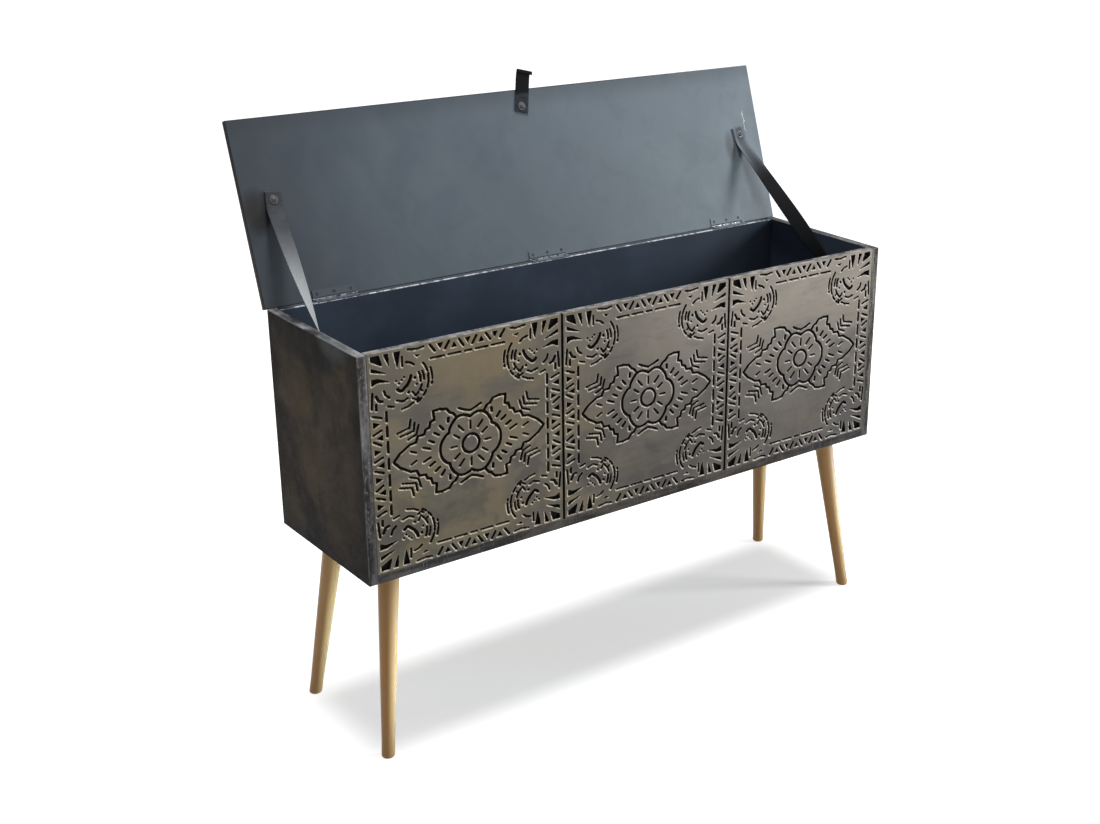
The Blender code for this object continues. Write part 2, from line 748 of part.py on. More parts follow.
def build_lid(lid):
    """The lid board, laid out closed about the hinge line: it turns with the lid's frame."""
    reach = BOX_HALF + LID_SIDE_OVERHANG
    return board("lid_board", (-reach, LID_TAIL - LID_DEPTH, PIVOT_RISE),
                 (reach, LID_TAIL, PIVOT_RISE + LID_THICKNESS), lid_paint(), lid, LID_EASE)


def screw_mesh(name, under_head):
    """A domed screw. Its head stands above Z = 0 and its shank runs down."""
    tip = -(under_head + SCREW_IN_BOARD)
    profile = []
    for i in range(DOME_STEPS + 1):
        angle = math.pi / 2 * (1 - i / DOME_STEPS)
        profile.append((SCREW_HEAD_RADIUS * math.cos(angle), SCREW_HEAD_HEIGHT * math.sin(angle)))
    profile[0] = (0.0, SCREW_HEAD_HEIGHT)
    profile += [(SCREW_SHANK_RADIUS, 0.0), (SCREW_SHANK_RADIUS, tip + SCREW_SHANK_RADIUS), (0.0, tip)]
    return turned_mesh(name, profile, BORE_SIDES)


def washer_mesh(name):
    """A flat washer with an eased outer edge, resting on Z = 0."""
    bm = bmesh.new()
    hole, rim, top = SCREW_HOLE_RADIUS, WASHER_RADIUS, WASHER_THICKNESS
    section = [(hole, 0.0), (rim, 0.0), (rim, top / 2), (rim - top / 2, top), (hole, top)]
    chain = [bm.verts.new((radius, 0.0, height)) for radius, height in section]
    edges = [bm.edges.new((chain[i], chain[(i + 1) % len(chain)])) for i in range(len(chain))]
    bmesh.ops.spin(bm, geom=chain + edges, cent=(0.0, 0.0, 0.0), axis=(0.0, 0.0, 1.0),
                   angle=math.tau, steps=BORE_SIDES, use_merge=True)
    bmesh.ops.remove_doubles(bm, verts=bm.verts, dist=1e-6)
    return mesh_from(bm, name)


def fasten(name, pieces, seat, facing, parent, thickness):
    """A washer and a screw that hold a strip of a given thickness. The screw's head faces `facing`."""
    mat = screw_steel()
    facing = Vector(facing)
    turn = Vector((0.0, 0.0, 1.0)).rotation_difference(facing).to_euler()
    on_strip = Vector(seat) + facing * (thickness + 2 * FIT)
    on_washer = on_strip + facing * (WASHER_THICKNESS + FIT)
    finish_object(f"{name}_washer", washer_mesh(f"{name}_washer"), mat, parent, on_strip, turn, smooth=True)
    under_head = thickness + WASHER_THICKNESS + 3 * FIT
    finish_object(f"{name}_screw", screw_mesh(f"{name}_screw", under_head), mat, parent, on_washer, turn,
                  smooth=True)
    hole = rod_mesh("pilot", SCREW_HOLE_RADIUS, -(SCREW_IN_BOARD + FIT), thickness + 4 * FIT, HOLE_SIDES)
    first, rest = pieces[0], pieces[1:]
    cutter = cut(first, hole, f"{name}_pilot", seat, turn, parent)
    for piece in rest:
        cut_with(piece, cutter)


def rounded_path(points, bend, steps):
    """A line through points, with each corner rounded over a set length of both its sides."""
    path = [Vector(points[0])]
    for before, corner, after in zip(points, points[1:], points[2:]):
        before, corner, after = Vector(before), Vector(corner), Vector(after)
        start = corner + (before - corner).normalized() * bend
        stop = corner + (after - corner).normalized() * bend
        for i in range(steps + 1):
            t = i / steps
            path.append(start * (1 - t) ** 2 + corner * 2 * t * (1 - t) + stop * t ** 2)
    path.append(Vector(points[-1]))
    return path


def strap_route(side):
    """The strap's wall screw, the line of its outer layer and the ways its back faces at each end."""
    wall_x = side * INNER_HALF
    wall_screw = Vector((wall_x, FRONT_FACE + STRAP_WALL_SETBACK, RIM - STRAP_WALL_DROP))
    opened = Matrix.Rotation(-math.radians(LID_OPENING), 3, "X")
    lid_screw_closed = Vector((side * (BOX_HALF - STRAP_LID_INSET), -STRAP_LID_REACH, PIVOT_RISE))
    lid_screw = PIVOT + opened @ lid_screw_closed
    lid_back = opened @ Vector((0.0, 0.0, 1.0))
    wall_back = Vector((side, 0.0, 0.0))
    rise = FIT + STRAP_THICKNESS / 2 + STRAP_LAYER_STEP
    lid_point = lid_screw - lid_back * rise
    wall_point = wall_screw - wall_back * rise
    span = wall_point - lid_point
    down_lid = (span - lid_back * span.dot(lid_back)).normalized()
    up_wall = (-span + wall_back * span.dot(wall_back)).normalized()
    points = [lid_point - down_lid * STRAP_TAIL, lid_point + down_lid * STRAP_FLAT,
              wall_point + up_wall * STRAP_FLAT, wall_point - up_wall * STRAP_TAIL]
    return wall_screw, points, lid_back, wall_back


def strap_ring(here, back, wide):
    """The strap's four corners at a point of its middle line."""
    thick = back * (STRAP_THICKNESS / 2)
    return [here + wide + thick, here - wide + thick, here - wide - thick, here + wide - thick]


def folded_end(end_point, tail, back, wide):
    """A doubled end: from the hidden edge of the layer on the board, round the fold to the outer layer."""
    under = end_point + back * STRAP_LAYER_STEP - tail * (STRAP_TAIL + STRAP_FLAT * 3 / 4)
    rings = [strap_ring(under, -back, wide)]
    middle = end_point + back * (STRAP_LAYER_STEP / 2)
    for i in range(FOLD_STEPS + 1):
        angle = math.pi * (1 - i / FOLD_STEPS)
        inward = back * math.cos(angle) - tail * math.sin(angle)
        rings.append(strap_ring(middle - inward * (STRAP_LAYER_STEP / 2), inward, wide))
    return rings


def strap_mesh(name, points, lid_back, wall_back):
    """A flat strap, doubled at both ends, that turns a quarter on its way from the lid to the wall."""
    corners = rounded_path(points, STRAP_BEND_LENGTH, STRAP_BEND_STEPS)
    free_start = STRAP_BEND_STEPS + 1
    free_end = free_start + 1
    path = corners[:free_start + 1]
    for i in range(1, STRAP_STATIONS):
        path.append(corners[free_start].lerp(corners[free_end], i / STRAP_STATIONS))
    path += corners[free_end:]
    first_tail = (path[0] - path[1]).normalized()
    first_wide = lid_back.cross(first_tail) * (STRAP_WIDTH / 2)
    rings = folded_end(path[0], first_tail, lid_back, first_wide)
    for i in range(1, len(path) - 1):
        along = (path[i + 1] - path[i - 1]).normalized()
        share = min(max((i - free_start) / STRAP_STATIONS, 0.0), 1.0) ** STRAP_TWIST_POWER
        first = (lid_back - along * lid_back.dot(along)).normalized()
        second = (wall_back - along * wall_back.dot(along)).normalized()
        angle = share * math.acos(max(-1.0, min(1.0, first.dot(second))))
        aside = (second - first * first.dot(second)).normalized()
        back = first * math.cos(angle) + aside * math.sin(angle)
        rings.append(strap_ring(path[i], back, along.cross(back) * (STRAP_WIDTH / 2)))
    last_tail = (path[-1] - path[-2]).normalized()
    last_wide = last_tail.cross(wall_back) * (STRAP_WIDTH / 2)
    rings += reversed(folded_end(path[-1], last_tail, wall_back, last_wide))
    return loft_mesh(name, rings)


def build_straps(chest, lid, boards, lid_board):
    """Two straps that stop the lid, each with a screw and a washer at both ends."""
    mat = strap_webbing()
    for side, label in ((-1, "left"), (1, "right")):
        wall_screw, points, lid_back, wall_back = strap_route(side)
        strap = finish_object(f"strap_{label}", strap_mesh(f"strap_{label}", points, lid_back, wall_back),
                              mat, chest, smooth=True)
        closed = Vector((side * (BOX_HALF - STRAP_LID_INSET), -STRAP_LID_REACH, PIVOT_RISE))
        doubled = STRAP_THICKNESS + STRAP_LAYER_STEP
        fasten(f"strap_{label}_lid", [lid_board, strap], closed, (0.0, 0.0, -1.0), lid, doubled)
        fasten(f"strap_{label}_wall", [boards[label], strap], wall_screw, -wall_back, chest, doubled)


def build_pull_tab(lid, lid_board):
    """A leather tab under the lid's front edge: one screw holds it and its end is folded to a hem."""
    seat = Vector((TAB_OFFSET, LID_TAIL - LID_DEPTH + TAB_FROM_FRONT, PIVOT_RISE))
    middle = -FIT - TAB_THICKNESS / 2
    fold = (TAB_THICKNESS + TAB_HEM_GAP) / 2
    line = [(TAB_TAIL, middle), (TAB_TAIL / 2, middle), (-TAB_REACH / 3, middle), (-TAB_REACH * 2 / 3, middle),
            (-TAB_REACH, middle)]
    for i in range(1, 7):
        angle = math.pi * i / 7
        line.append((-TAB_REACH - fold * math.sin(angle), middle - fold + fold * math.cos(angle)))
    line += [(-TAB_REACH, middle - 2 * fold), (-TAB_REACH + TAB_HEM, middle - 2 * fold)]
    rings = []
    for i, (y, z) in enumerate(line):
        ahead, behind = Vector(line[min(i + 1, len(line) - 1)]), Vector(line[max(i - 1, 0)])
        along = (ahead - behind).normalized()
        normal = Vector((-along.y, along.x)) * (TAB_THICKNESS / 2)
        half = TAB_WIDTH / 2
        rings.append([(half, y + normal.x, z + normal.y), (-half, y + normal.x, z + normal.y),
                      (-half, y - normal.x, z - normal.y), (half, y - normal.x, z - normal.y)])
    turn = Euler((0.0, 0.0, math.radians(TAB_SKEW)))
    tab = finish_object("pull_tab", loft_mesh("pull_tab", rings), tab_leather(), lid, seat, turn, smooth=True)
    fasten("pull_tab", [lid_board, tab], seat, (0.0, 0.0, -1.0), lid, TAB_THICKNESS)


def centre_over_origin(root):
    """Move the whole chest so that the origin lies under the middle of everything it covers."""
    bpy.context.view_layer.update()
    depsgraph = bpy.context.evaluated_depsgraph_get()
    low, high = math.inf, -math.inf
    for obj in bpy.data.objects:
        if obj.type != "MESH" or obj.hide_render:
            continue
        seen = obj.evaluated_get(depsgraph)
        for vertex in seen.data.vertices:
            y = (seen.matrix_world @ vertex.co).y
            low, high = min(low, y), max(high, y)
    root.location.y -= (low + high) / 2


def build_chest():
    """Build every piece."""
    clear_scene()
    chest = bpy.data.objects.new("chest_frame", None)
    lid = bpy.data.objects.new("lid_frame", None)
    for frame in (chest, lid):
        bpy.context.scene.collection.objects.link(frame)
    lid.parent = chest
    lid.location = PIVOT
    lid.rotation_euler.x = -math.radians(LID_OPENING)
    boards = build_carcass(chest)
    build_dowels(boards, chest)
    build_carved_panels(chest)
    build_legs(chest)
    build_hinges(chest, lid)
    lid_board = build_lid(lid)
    build_straps(chest, lid, boards, lid_board)
    build_pull_tab(lid, lid_board)
    centre_over_origin(chest)


build_chest()
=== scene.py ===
# %% [markdown]
# # A long storage chest with a carved front, standing open
#
# The real chest is a box of 16 mm boards on four turned beech legs. Its front is three carved panels,
# its lid leans back on two webbing straps, and a leather tab hangs from the lid's front edge.
# The solids come in ready made and to size, one for each board, leaf, pin, strap and leg.
# This lesson gives each of them its surface: the paint and its wear, the carving, the weave, the grain.
# Lengths are in metres, with X to the right, Y to the back and Z up. The floor is Z = 0.

# %% Load the solid chest
import json
import math

import bpy
import numpy as np
from mathutils import Matrix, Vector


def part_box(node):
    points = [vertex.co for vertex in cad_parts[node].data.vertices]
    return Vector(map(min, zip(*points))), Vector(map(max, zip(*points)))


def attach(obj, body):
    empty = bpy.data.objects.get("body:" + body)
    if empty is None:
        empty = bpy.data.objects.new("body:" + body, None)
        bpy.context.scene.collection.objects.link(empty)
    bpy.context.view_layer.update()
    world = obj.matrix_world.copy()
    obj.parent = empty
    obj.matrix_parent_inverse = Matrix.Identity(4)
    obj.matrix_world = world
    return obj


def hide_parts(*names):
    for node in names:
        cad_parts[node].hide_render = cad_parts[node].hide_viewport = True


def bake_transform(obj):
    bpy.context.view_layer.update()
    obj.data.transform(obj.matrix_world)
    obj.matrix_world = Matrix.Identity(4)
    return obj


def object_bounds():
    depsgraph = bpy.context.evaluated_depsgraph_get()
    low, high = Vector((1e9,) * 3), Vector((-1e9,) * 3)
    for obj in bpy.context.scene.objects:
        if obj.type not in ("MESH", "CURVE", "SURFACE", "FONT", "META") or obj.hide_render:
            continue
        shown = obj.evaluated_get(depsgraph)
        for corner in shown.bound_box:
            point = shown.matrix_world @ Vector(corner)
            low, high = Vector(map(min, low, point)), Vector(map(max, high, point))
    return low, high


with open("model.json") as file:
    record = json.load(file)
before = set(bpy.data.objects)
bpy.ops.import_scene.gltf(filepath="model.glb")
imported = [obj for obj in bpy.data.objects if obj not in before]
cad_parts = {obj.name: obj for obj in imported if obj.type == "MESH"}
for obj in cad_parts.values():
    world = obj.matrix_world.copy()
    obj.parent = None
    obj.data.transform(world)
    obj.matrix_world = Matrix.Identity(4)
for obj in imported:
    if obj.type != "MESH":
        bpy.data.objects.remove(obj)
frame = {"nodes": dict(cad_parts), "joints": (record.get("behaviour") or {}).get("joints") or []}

nodes = frame["nodes"]
cad_box = [list(corner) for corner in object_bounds()]
print("solid pieces:", len(nodes), "box:", cad_box)

# %% [markdown]
# ## Where the camera stood
#
# The photograph was taken from the left of the front, a little above the open lid's middle.
# One could push the camera about by eye, but the box has many straight edges, so its place was worked
# out from them: a direction round the chest, a height, a slight roll and a distance.
# The shift says that the photograph is a crop whose middle is not where the lens pointed.

# %% The camera
FRONT_Y = cad_box[0][1]
BOX_DEPTH = 0.300
MIDDLE_Y = FRONT_Y + BOX_DEPTH / 2
AZIMUTH, ELEVATION, ROLL = (math.radians(angle) for angle in (-39.568, 20.912, 1.125))
AIM_HEIGHT = 0.518
DISTANCE, RIGHTWARD, UPWARD = 2.8757, 0.1655, -0.0734
SENSOR_MM, LENS_MM, SHIFT = 36.0, 52.36, (-0.1264, 0.0064)
UP = (0.0, 0.0, 1.0)


def unit(vectors):
    """Vectors shortened or lengthened to 1."""
    return vectors / np.linalg.norm(vectors, axis=-1, keepdims=True)


def standing(right, up, back, place):
    """The matrix of a thing at a place, whose own X, Y and Z point right, up and back."""
    return Matrix(np.vstack((np.column_stack((right, up, back, place)), (0, 0, 0, 1))).tolist())


def photo_camera():
    """Back is the direction from the chest to the camera, from its azimuth and elevation. Right and up
    are level and upright at first, and the roll turns them round it."""
    back = np.array((math.sin(AZIMUTH) * math.cos(ELEVATION),
                     -math.cos(AZIMUTH) * math.cos(ELEVATION), math.sin(ELEVATION)))
    level = unit(np.cross(-back, UP))
    upright = np.cross(level, -back)
    right = math.cos(ROLL) * level + math.sin(ROLL) * upright
    up = -math.sin(ROLL) * level + math.cos(ROLL) * upright
    data = bpy.data.cameras.new("photo_camera")
    data.sensor_fit = "HORIZONTAL"
    data.sensor_width, data.lens = SENSOR_MM, LENS_MM
    data.shift_x, data.shift_y = SHIFT
    camera = bpy.data.objects.new("photo_camera", data)
    aim = np.array((0.0, MIDDLE_Y, AIM_HEIGHT))
    place = aim + DISTANCE * back + RIGHTWARD * right + UPWARD * up
    camera.matrix_world = standing(right, up, back, place)
    bpy.context.scene.collection.objects.link(camera)
    bpy.context.scene.camera = camera
    return camera


camera = photo_camera()
print("camera at", [round(value, 3) for value in camera.matrix_world.translation])

# %% [markdown]
# ## A white room
#
# The chest stands on a white sweep that runs into a white background, with a soft shadow below it.
# Pouring light on until the floor burns out would wash out the paint as well. So the lamps stay at a
# plain level, and the floor and the sky add a little of their own white only where the camera, or a
# reflection, looks straight at them. The shadow still shows, because that part is simply added.
# A step away from the chest the sheet's own white grows until it meets the sky without a line, so the
# shadow's outline is painted: it is the rectangle below the chest where that white is held back. There
# it is a little less on the right, which paints the shadow darker where light from the lamps comes in
# between the legs.

# %% The floor and the sky
AMBIENT = 0.32
FLOOR_WHITE = 0.62
LEFT_LIFT, RIGHT_LIFT, FAR_LIFT = 0.475, 0.392, 0.96
FLOOR_REACH, FLOOR_GAP = 60.0, 0.0003
# The rectangle below the chest where the floor's white is held back: the painted outline of its shadow.
SHADOW_RECTANGLE, FADE_RUN = (0.485, 0.075, 0.0), 0.11
ZERO, WHITE = (0.0, 0.0, 0.0), (1.0, 1.0, 1.0, 1.0)


def add_node(tree, kind, sockets=(), **settings):
    """A shader node: its settings, then its inputs by number or name, each a value or an output."""
    made = tree.nodes.new(f"ShaderNode{kind}")
    for key, value in settings.items():
        setattr(made, key, value)
    for key, value in dict(sockets).items():
        if isinstance(value, bpy.types.NodeSocket):
            tree.links.new(value, made.inputs[key])
        else:
            made.inputs[key].default_value = value
    return made


def seen_directly(tree):
    """1 for rays from the camera, from a mirror or through glass, and 0 for rays that carry light."""
    path = add_node(tree, "LightPath").outputs
    seen = path["Is Camera Ray"]
    for kind in ("Is Glossy Ray", "Is Transmission Ray"):
        seen = add_node(tree, "Math", {0: seen, 1: path[kind]}, operation="MAXIMUM").outputs[0]
    return seen


def white_sky():
    """The world: a pale grey that lights the chest, and plain white where it is looked at."""
    world = bpy.data.worlds.new("white_sky")
    world.use_nodes = True
    tree = world.node_tree
    lighting = tree.nodes["Background"]
    lighting.inputs["Color"].default_value = WHITE
    lighting.inputs["Strength"].default_value = AMBIENT
    looked_at = add_node(tree, "Background", {"Color": WHITE})
    choice = add_node(tree, "MixShader", {0: seen_directly(tree), 1: lighting.outputs[0],
                                          2: looked_at.outputs[0]})
    tree.links.new(choice.outputs[0], tree.nodes["World Output"].inputs["Surface"])
    bpy.context.scene.world = world


def floor_lift(tree):
    """How much white the floor adds: from left to right below the chest, and all of it further off.
    The rectangle below the chest, where it is held back, paints the shadow's outline, and the smaller
    share on the right paints the shadow darker there. The distance is from that rectangle, in steps of
    vector arithmetic."""
    place = add_node(tree, "TexCoord").outputs["Object"]
    away = place
    for operation, value in (("SUBTRACT", (0.0, MIDDLE_Y, 0.0)), ("ABSOLUTE", ZERO),
                             ("SUBTRACT", SHADOW_RECTANGLE), ("MAXIMUM", ZERO), ("LENGTH", ZERO)):
        step = add_node(tree, "VectorMath", {0: away, 1: value}, operation=operation)
        away = step.outputs["Value" if operation == "LENGTH" else "Vector"]
    x = add_node(tree, "SeparateXYZ", {0: place}).outputs["X"]
    below = add_node(tree, "MapRange", {0: x, 1: -0.5, 2: 0.5, 3: LEFT_LIFT, 4: RIGHT_LIFT}).outputs[0]
    return add_node(tree, "MapRange", {0: away, 1: 0.0, 2: FADE_RUN, 3: below, 4: FAR_LIFT},
                    interpolation_type="SMOOTHSTEP").outputs[0]


def white_floor():
    """A level sheet just under the feet: matt white plus a lift that only direct looks see."""
    mesh = bpy.data.meshes.new("floor")
    corners = [(x * FLOOR_REACH, y * FLOOR_REACH, 0.0) for x, y in ((-1, -1), (1, -1), (1, 1), (-1, 1))]
    mesh.from_pydata(corners, [], [(0, 1, 2, 3)])
    floor = bpy.data.objects.new("floor", mesh)
    floor.location.z = -FLOOR_GAP
    bpy.context.scene.collection.objects.link(floor)
    material = bpy.data.materials.new("white_sweep")
    material.use_nodes = True
    tree = material.node_tree
    tree.nodes.remove(tree.nodes["Principled BSDF"])
    matt = add_node(tree, "BsdfDiffuse", {"Color": (FLOOR_WHITE, FLOOR_WHITE, FLOOR_WHITE, 1.0)})
    strength = add_node(tree, "Math", {0: seen_directly(tree), 1: floor_lift(tree)}, operation="MULTIPLY")
    lift = add_node(tree, "Emission", {"Strength": strength.outputs[0]})
    both = add_node(tree, "AddShader", {0: matt.outputs[0], 1: lift.outputs[0]})
    tree.links.new(both.outputs[0], tree.nodes["Material Output"].inputs["Surface"])
    mesh.materials.append(material)


white_sky()
white_floor()
bpy.context.scene.view_settings.view_transform = "Standard"
print("sky", AMBIENT, "floor", FLOOR_WHITE, "+", LEFT_LIFT, "to", RIGHT_LIFT)

# %% [markdown]
# ## Soft lights
#
# The lid is bright at its right end and dark at its left, the left strap is lit and the right one is
# nearly black, and the straps throw their shadows to the left. So the main light is large and stands
# to the right of the front, and one overhead draws the shadow on the floor. Area lamps are used because
# their size is what makes a shadow soft. Four faint ones near the floor have slats in front of them, so
# that each reaches one leg only. They are cool, because the right of the legs is cream, not orange.

# %% The lamps
LEG_LAMP_AWAY = np.array((1.6 * 0.83, -1.6 * 0.55, 0.0))
LEG_LAMP_HEIGHT, LEG_LAMP_CONE = 0.150, math.radians(10.0)
COOL = (0.45, 0.72, 1.0)
LEG_LAMPS = {"front_left": (-0.504, -0.165, 0.500), "front_right": (0.504, -0.165, 0.420),
             "rear_left": (-0.504, 0.056, 0.370), "rear_right": (0.504, 0.056, 0.260)}


def softbox(name, place, aim, width, height, watts):
    """A rectangular lamp at a place, turned so that its face looks at the aim point."""
    lamp = bpy.data.lights.new(name, "AREA")
    lamp.shape = "RECTANGLE"
    lamp.size, lamp.size_y, lamp.energy = width, height, watts
    obj = bpy.data.objects.new(name, lamp)
    back = unit(np.subtract(place, aim))
    side = unit(np.cross((0.0, 1.0, 0.0) if abs(back[2]) > 0.9 else UP, back))
    obj.matrix_world = standing(side, np.cross(back, side), back, place)
    obj.visible_camera = False
    bpy.context.scene.collection.objects.link(obj)
    return obj


softbox("side_light", (1.95, -1.25, 1.22), (0.15, -0.05, 0.62), 0.5, 0.6, 25.0)
softbox("top_light", (0.0, MIDDLE_Y, 3.30), (0.0, MIDDLE_Y, 0.0), 0.55, 0.45, 62.0)
for name, (x, y, watts) in LEG_LAMPS.items():
    leg = np.array((x, y, LEG_LAMP_HEIGHT))
    lamp = softbox(f"{name}_leg_light", leg + LEG_LAMP_AWAY, leg, 0.10, 0.22, watts)
    lamp.data.spread = LEG_LAMP_CONE
    lamp.data.color = COOL

# %% [markdown] ## A small kit for mixing finishes  Every finish here is procedural: its colour,
# gloss and tiny relief are worked out from the place on the piece. An image would be quicker, but it
# would need unwrapping and would blur close up. Each method adds a shader node or a few and hands
# back the output.

# %% The mixing kit


class Finish:
    """A finish in the making, on a Principled shader. `place` is the point on the piece at rest."""

    def __init__(self, name, roughness=0.5, metallic=0.0, shine=0.5):
        self.material = bpy.data.materials.new(name)
        self.material.use_nodes = True
        self.tree = self.material.node_tree
        self.shader = self.tree.nodes["Principled BSDF"]
        self.shader.inputs["Roughness"].default_value = roughness
        self.shader.inputs["Metallic"].default_value = metallic
        self.shader.inputs["Specular IOR Level"].default_value = shine
        self.place = add_node(self.tree, "TexCoord").outputs["Object"]

    def number(self, operation, first, second=0.0, third=0.0):
        """One step of arithmetic on numbers."""
        return add_node(self.tree, "Math", {0: first, 1: second, 2: third}, operation=operation).outputs[0]

    def times(self, first, second):
        """Two numbers multiplied: where both are shares, what they have in common."""
        return self.number("MULTIPLY", first, second)

    def vector(self, operation, first, second=ZERO):
        """One step of arithmetic on vectors. A length and a dot product are numbers."""
        made = add_node(self.tree, "VectorMath", {0: first, 1: second}, operation=operation)
        return made.outputs["Value" if operation in ("DOT_PRODUCT", "LENGTH") else "Vector"]

    def axes(self, vector):
        """The X, Y and Z of a vector."""
        return tuple(add_node(self.tree, "SeparateXYZ", {0: vector}).outputs)

    def joined(self, x, y, z):
        """A vector from three numbers."""
        return add_node(self.tree, "CombineXYZ", {0: x, 1: y, 2: z}).outputs[0]

    def mark(self, label, output="Vector"):
        """What the points of the piece's mesh carry under this label."""
        return add_node(self.tree, "Attribute", attribute_name=label).outputs[output]

    def ramp(self, value, low, high, start=0.0, stop=1.0):
        """Start below low, stop above high, and a smooth step between."""
        return add_node(self.tree, "MapRange", {0: value, 1: low, 2: high, 3: start, 4: stop},
                        interpolation_type="SMOOTHSTEP").outputs[0]

    def spot(self, vector, middle, size, share):
        """The share at the middle of a soft oval of this size, and nothing outside it."""
        away = self.vector("DIVIDE", self.vector("SUBTRACT", vector, middle), size)
        return self.ramp(self.vector("DOT_PRODUCT", away, away), 0, 1, share, 0)

    def clouds(self, scale, detail, rough=0.6, stretch=(1, 1, 1), twist=0.0):
        """Soft noise from 0 to 1 with `scale` lumps a metre, drawn out where the stretch is small."""
        vector = self.vector("MULTIPLY", self.place, stretch)
        return add_node(self.tree, "TexNoise", {"Vector": vector, "Scale": scale, "Detail": detail,
                                                "Roughness": rough, "Distortion": twist}).outputs[0]

    def coats(self, colour, *coats):
        """Thin coats over a first colour, each given as (how much of it shows, from 0 to 1; its colour)."""
        for share, coat in coats:
            first, second = (value if isinstance(value, bpy.types.NodeSocket) else (*value, 1.0)
                             for value in (colour, coat))
            mix = add_node(self.tree, "Mix", {0: share, 6: first, 7: second}, data_type="RGBA")
            colour = mix.outputs[2]
        return colour

    def arris(self, vector, low, high):
        """How far a point on a box's surface is from the nearest edge of the box. Of its distances to
        the X, Y and Z walls the smallest is nothing, so the middle one of the three is the answer."""
        low, high = np.array(low), np.array(high)
        from_middle = self.vector("ABSOLUTE", self.vector("SUBTRACT", vector, tuple((low + high) / 2)))
        a, b, c = self.axes(self.vector("SUBTRACT", tuple((high - low) / 2), from_middle))
        larger, smaller = self.number("MAXIMUM", a, b), self.number("MINIMUM", a, b)
        return self.number("MAXIMUM", smaller, self.number("MINIMUM", larger, c))

    def relief(self, height, depth, below=None):
        """Tiny ups and downs: `height` runs from 0 to 1 and `depth` is what 1 means in metres."""
        sockets = {"Height": height, "Distance": depth, "Strength": 1.0}
        if below is not None:
            sockets["Normal"] = below
        return add_node(self.tree, "Bump", sockets).outputs[0]

    def use(self, **sockets):
        """Lead results to the shader, such as Base_Color, and hand back the finished material."""
        for key, value in sockets.items():
            self.tree.links.new(value, self.shader.inputs[key.replace("_", " ")])
        return self.material


def scaled(colour, factor):
    """A colour made lighter or darker."""
    return tuple(factor * value for value in colour)


def dress(name, material):
    """Give a solid its finish in place of its plain colour."""
    nodes[name].data.materials.clear()
    nodes[name].data.materials.append(material)


print("kit ready:", [name for name in vars(Finish) if not name.startswith("_")])

# %% [markdown]
# ## Painted boards
#
# The boards are painted near black and rubbed with bronze wax, so the sides look like dark, cloudy
# metal. The inside is a cool navy. Hands and the lid have worn the rim and every edge to pale grey.
# A board is one solid, so its finish has to know which face it is on: the place on the board tells.
# The distance to the nearest edge, made ragged with noise, gives wear that chips along the corners.

# %% The boards' paint
WALL_X = 0.534
BACK_Y = FRONT_Y + BOX_DEPTH
RIM_Z = 0.708
INNER_FACE, FLOOR_TOP = 0.0155, 0.3435
WAX_DARK = (0.015, 0.013, 0.0125)
WAX_BRONZE = (0.096, 0.074, 0.049)
WORN_GREY = (0.215, 0.212, 0.215)
NAVY = (0.054, 0.072, 0.102)
PALE_FRONT = {"right_side": (0.33, 0.32, 0.285), "bottom_board": (0.13, 0.118, 0.105)}


def outer_wax(finish, edge, brushed):
    """Black wax with drifting brown clouds, darkest along the edges of the board."""
    clouds, drift = finish.clouds(8, 4, 0.55, twist=0.2), finish.clouds(3.1, 2, 0.5)
    return finish.coats(
        WAX_DARK,
        (finish.ramp(clouds, 0.34, 0.68), WAX_BRONZE),
        (finish.ramp(drift, 0.58, 0.36, 0, 0.42), WAX_DARK),
        (finish.ramp(brushed, 0.45, 0.8, 0, 0.2), (0.085, 0.076, 0.066)),
        (finish.ramp(edge, 0, 0.045, 0.75, 0), (0.0115, 0.011, 0.012)))


def inner_navy(finish, x):
    """Cool navy with soft clouds, greyer to the right, and nearly black at the right-hand end, which is
    painted shade from the right-hand wall.
    """
    return finish.coats(
        NAVY,
        (finish.ramp(finish.clouds(6, 4, 0.62), 0.35, 0.7), scaled(NAVY, 1.4)),
        (finish.ramp(x, 0.12, 0.36, 0, 0.72), (0.062, 0.08, 0.108)),
        # Painted shade: the right-hand end, which the right-hand wall keeps from the light, is made nearly
        # black.
        (finish.ramp(x, 0.41, 0.5, 0, 0.55), (0.02, 0.026, 0.04)))


def front_edge(finish, name, z):
    """The narrow front faces: dark, scuffed along the board to a pale grey, with lighter flecks."""
    level = name == "bottom_board"
    pale = PALE_FRONT.get(name, (0.345, 0.335, 0.345))
    scuffs = finish.clouds(60, 5, 0.7, stretch=(0.16, 1, 1) if level else (1, 1, 0.16))
    flecks = finish.clouds(330, 3, 0.7, stretch=(1, 1, 0.16) if level else (1, 1, 0.6))
    colour = finish.coats((0.044, 0.041, 0.039), (finish.ramp(scuffs, 0.4, 0.68), pale),
                          (finish.ramp(flecks, 0.55, 0.68, 0, 0.45), scaled(pale, 1.9)))
    if level:
        return colour
    return finish.coats(colour, (finish.ramp(z, 0.5, 0.35, 0, 0.62), (0.034, 0.032, 0.033)))


def top_edge(finish, name, y):
    """The rim: scuffed slate on the sides, and on the back board a thin bright line along the inside."""
    if name == "back_board":
        chips = finish.clouds(80, 3, 0.7, stretch=(1, 0.2, 1))
        line = finish.times(finish.ramp(y, BACK_Y - 0.0105, BACK_Y - 0.0135),
                            finish.ramp(chips, 0.44, 0.54, 0.15))
        return finish.coats((0.06, 0.07, 0.084), (line, (0.6, 0.64, 0.68)))
    streaks = finish.clouds(40, 5, 0.7, stretch=(1, 0.3, 1))
    return finish.coats((0.04, 0.045, 0.05), (finish.ramp(streaks, 0.38, 0.66), (0.3, 0.3, 0.31)))


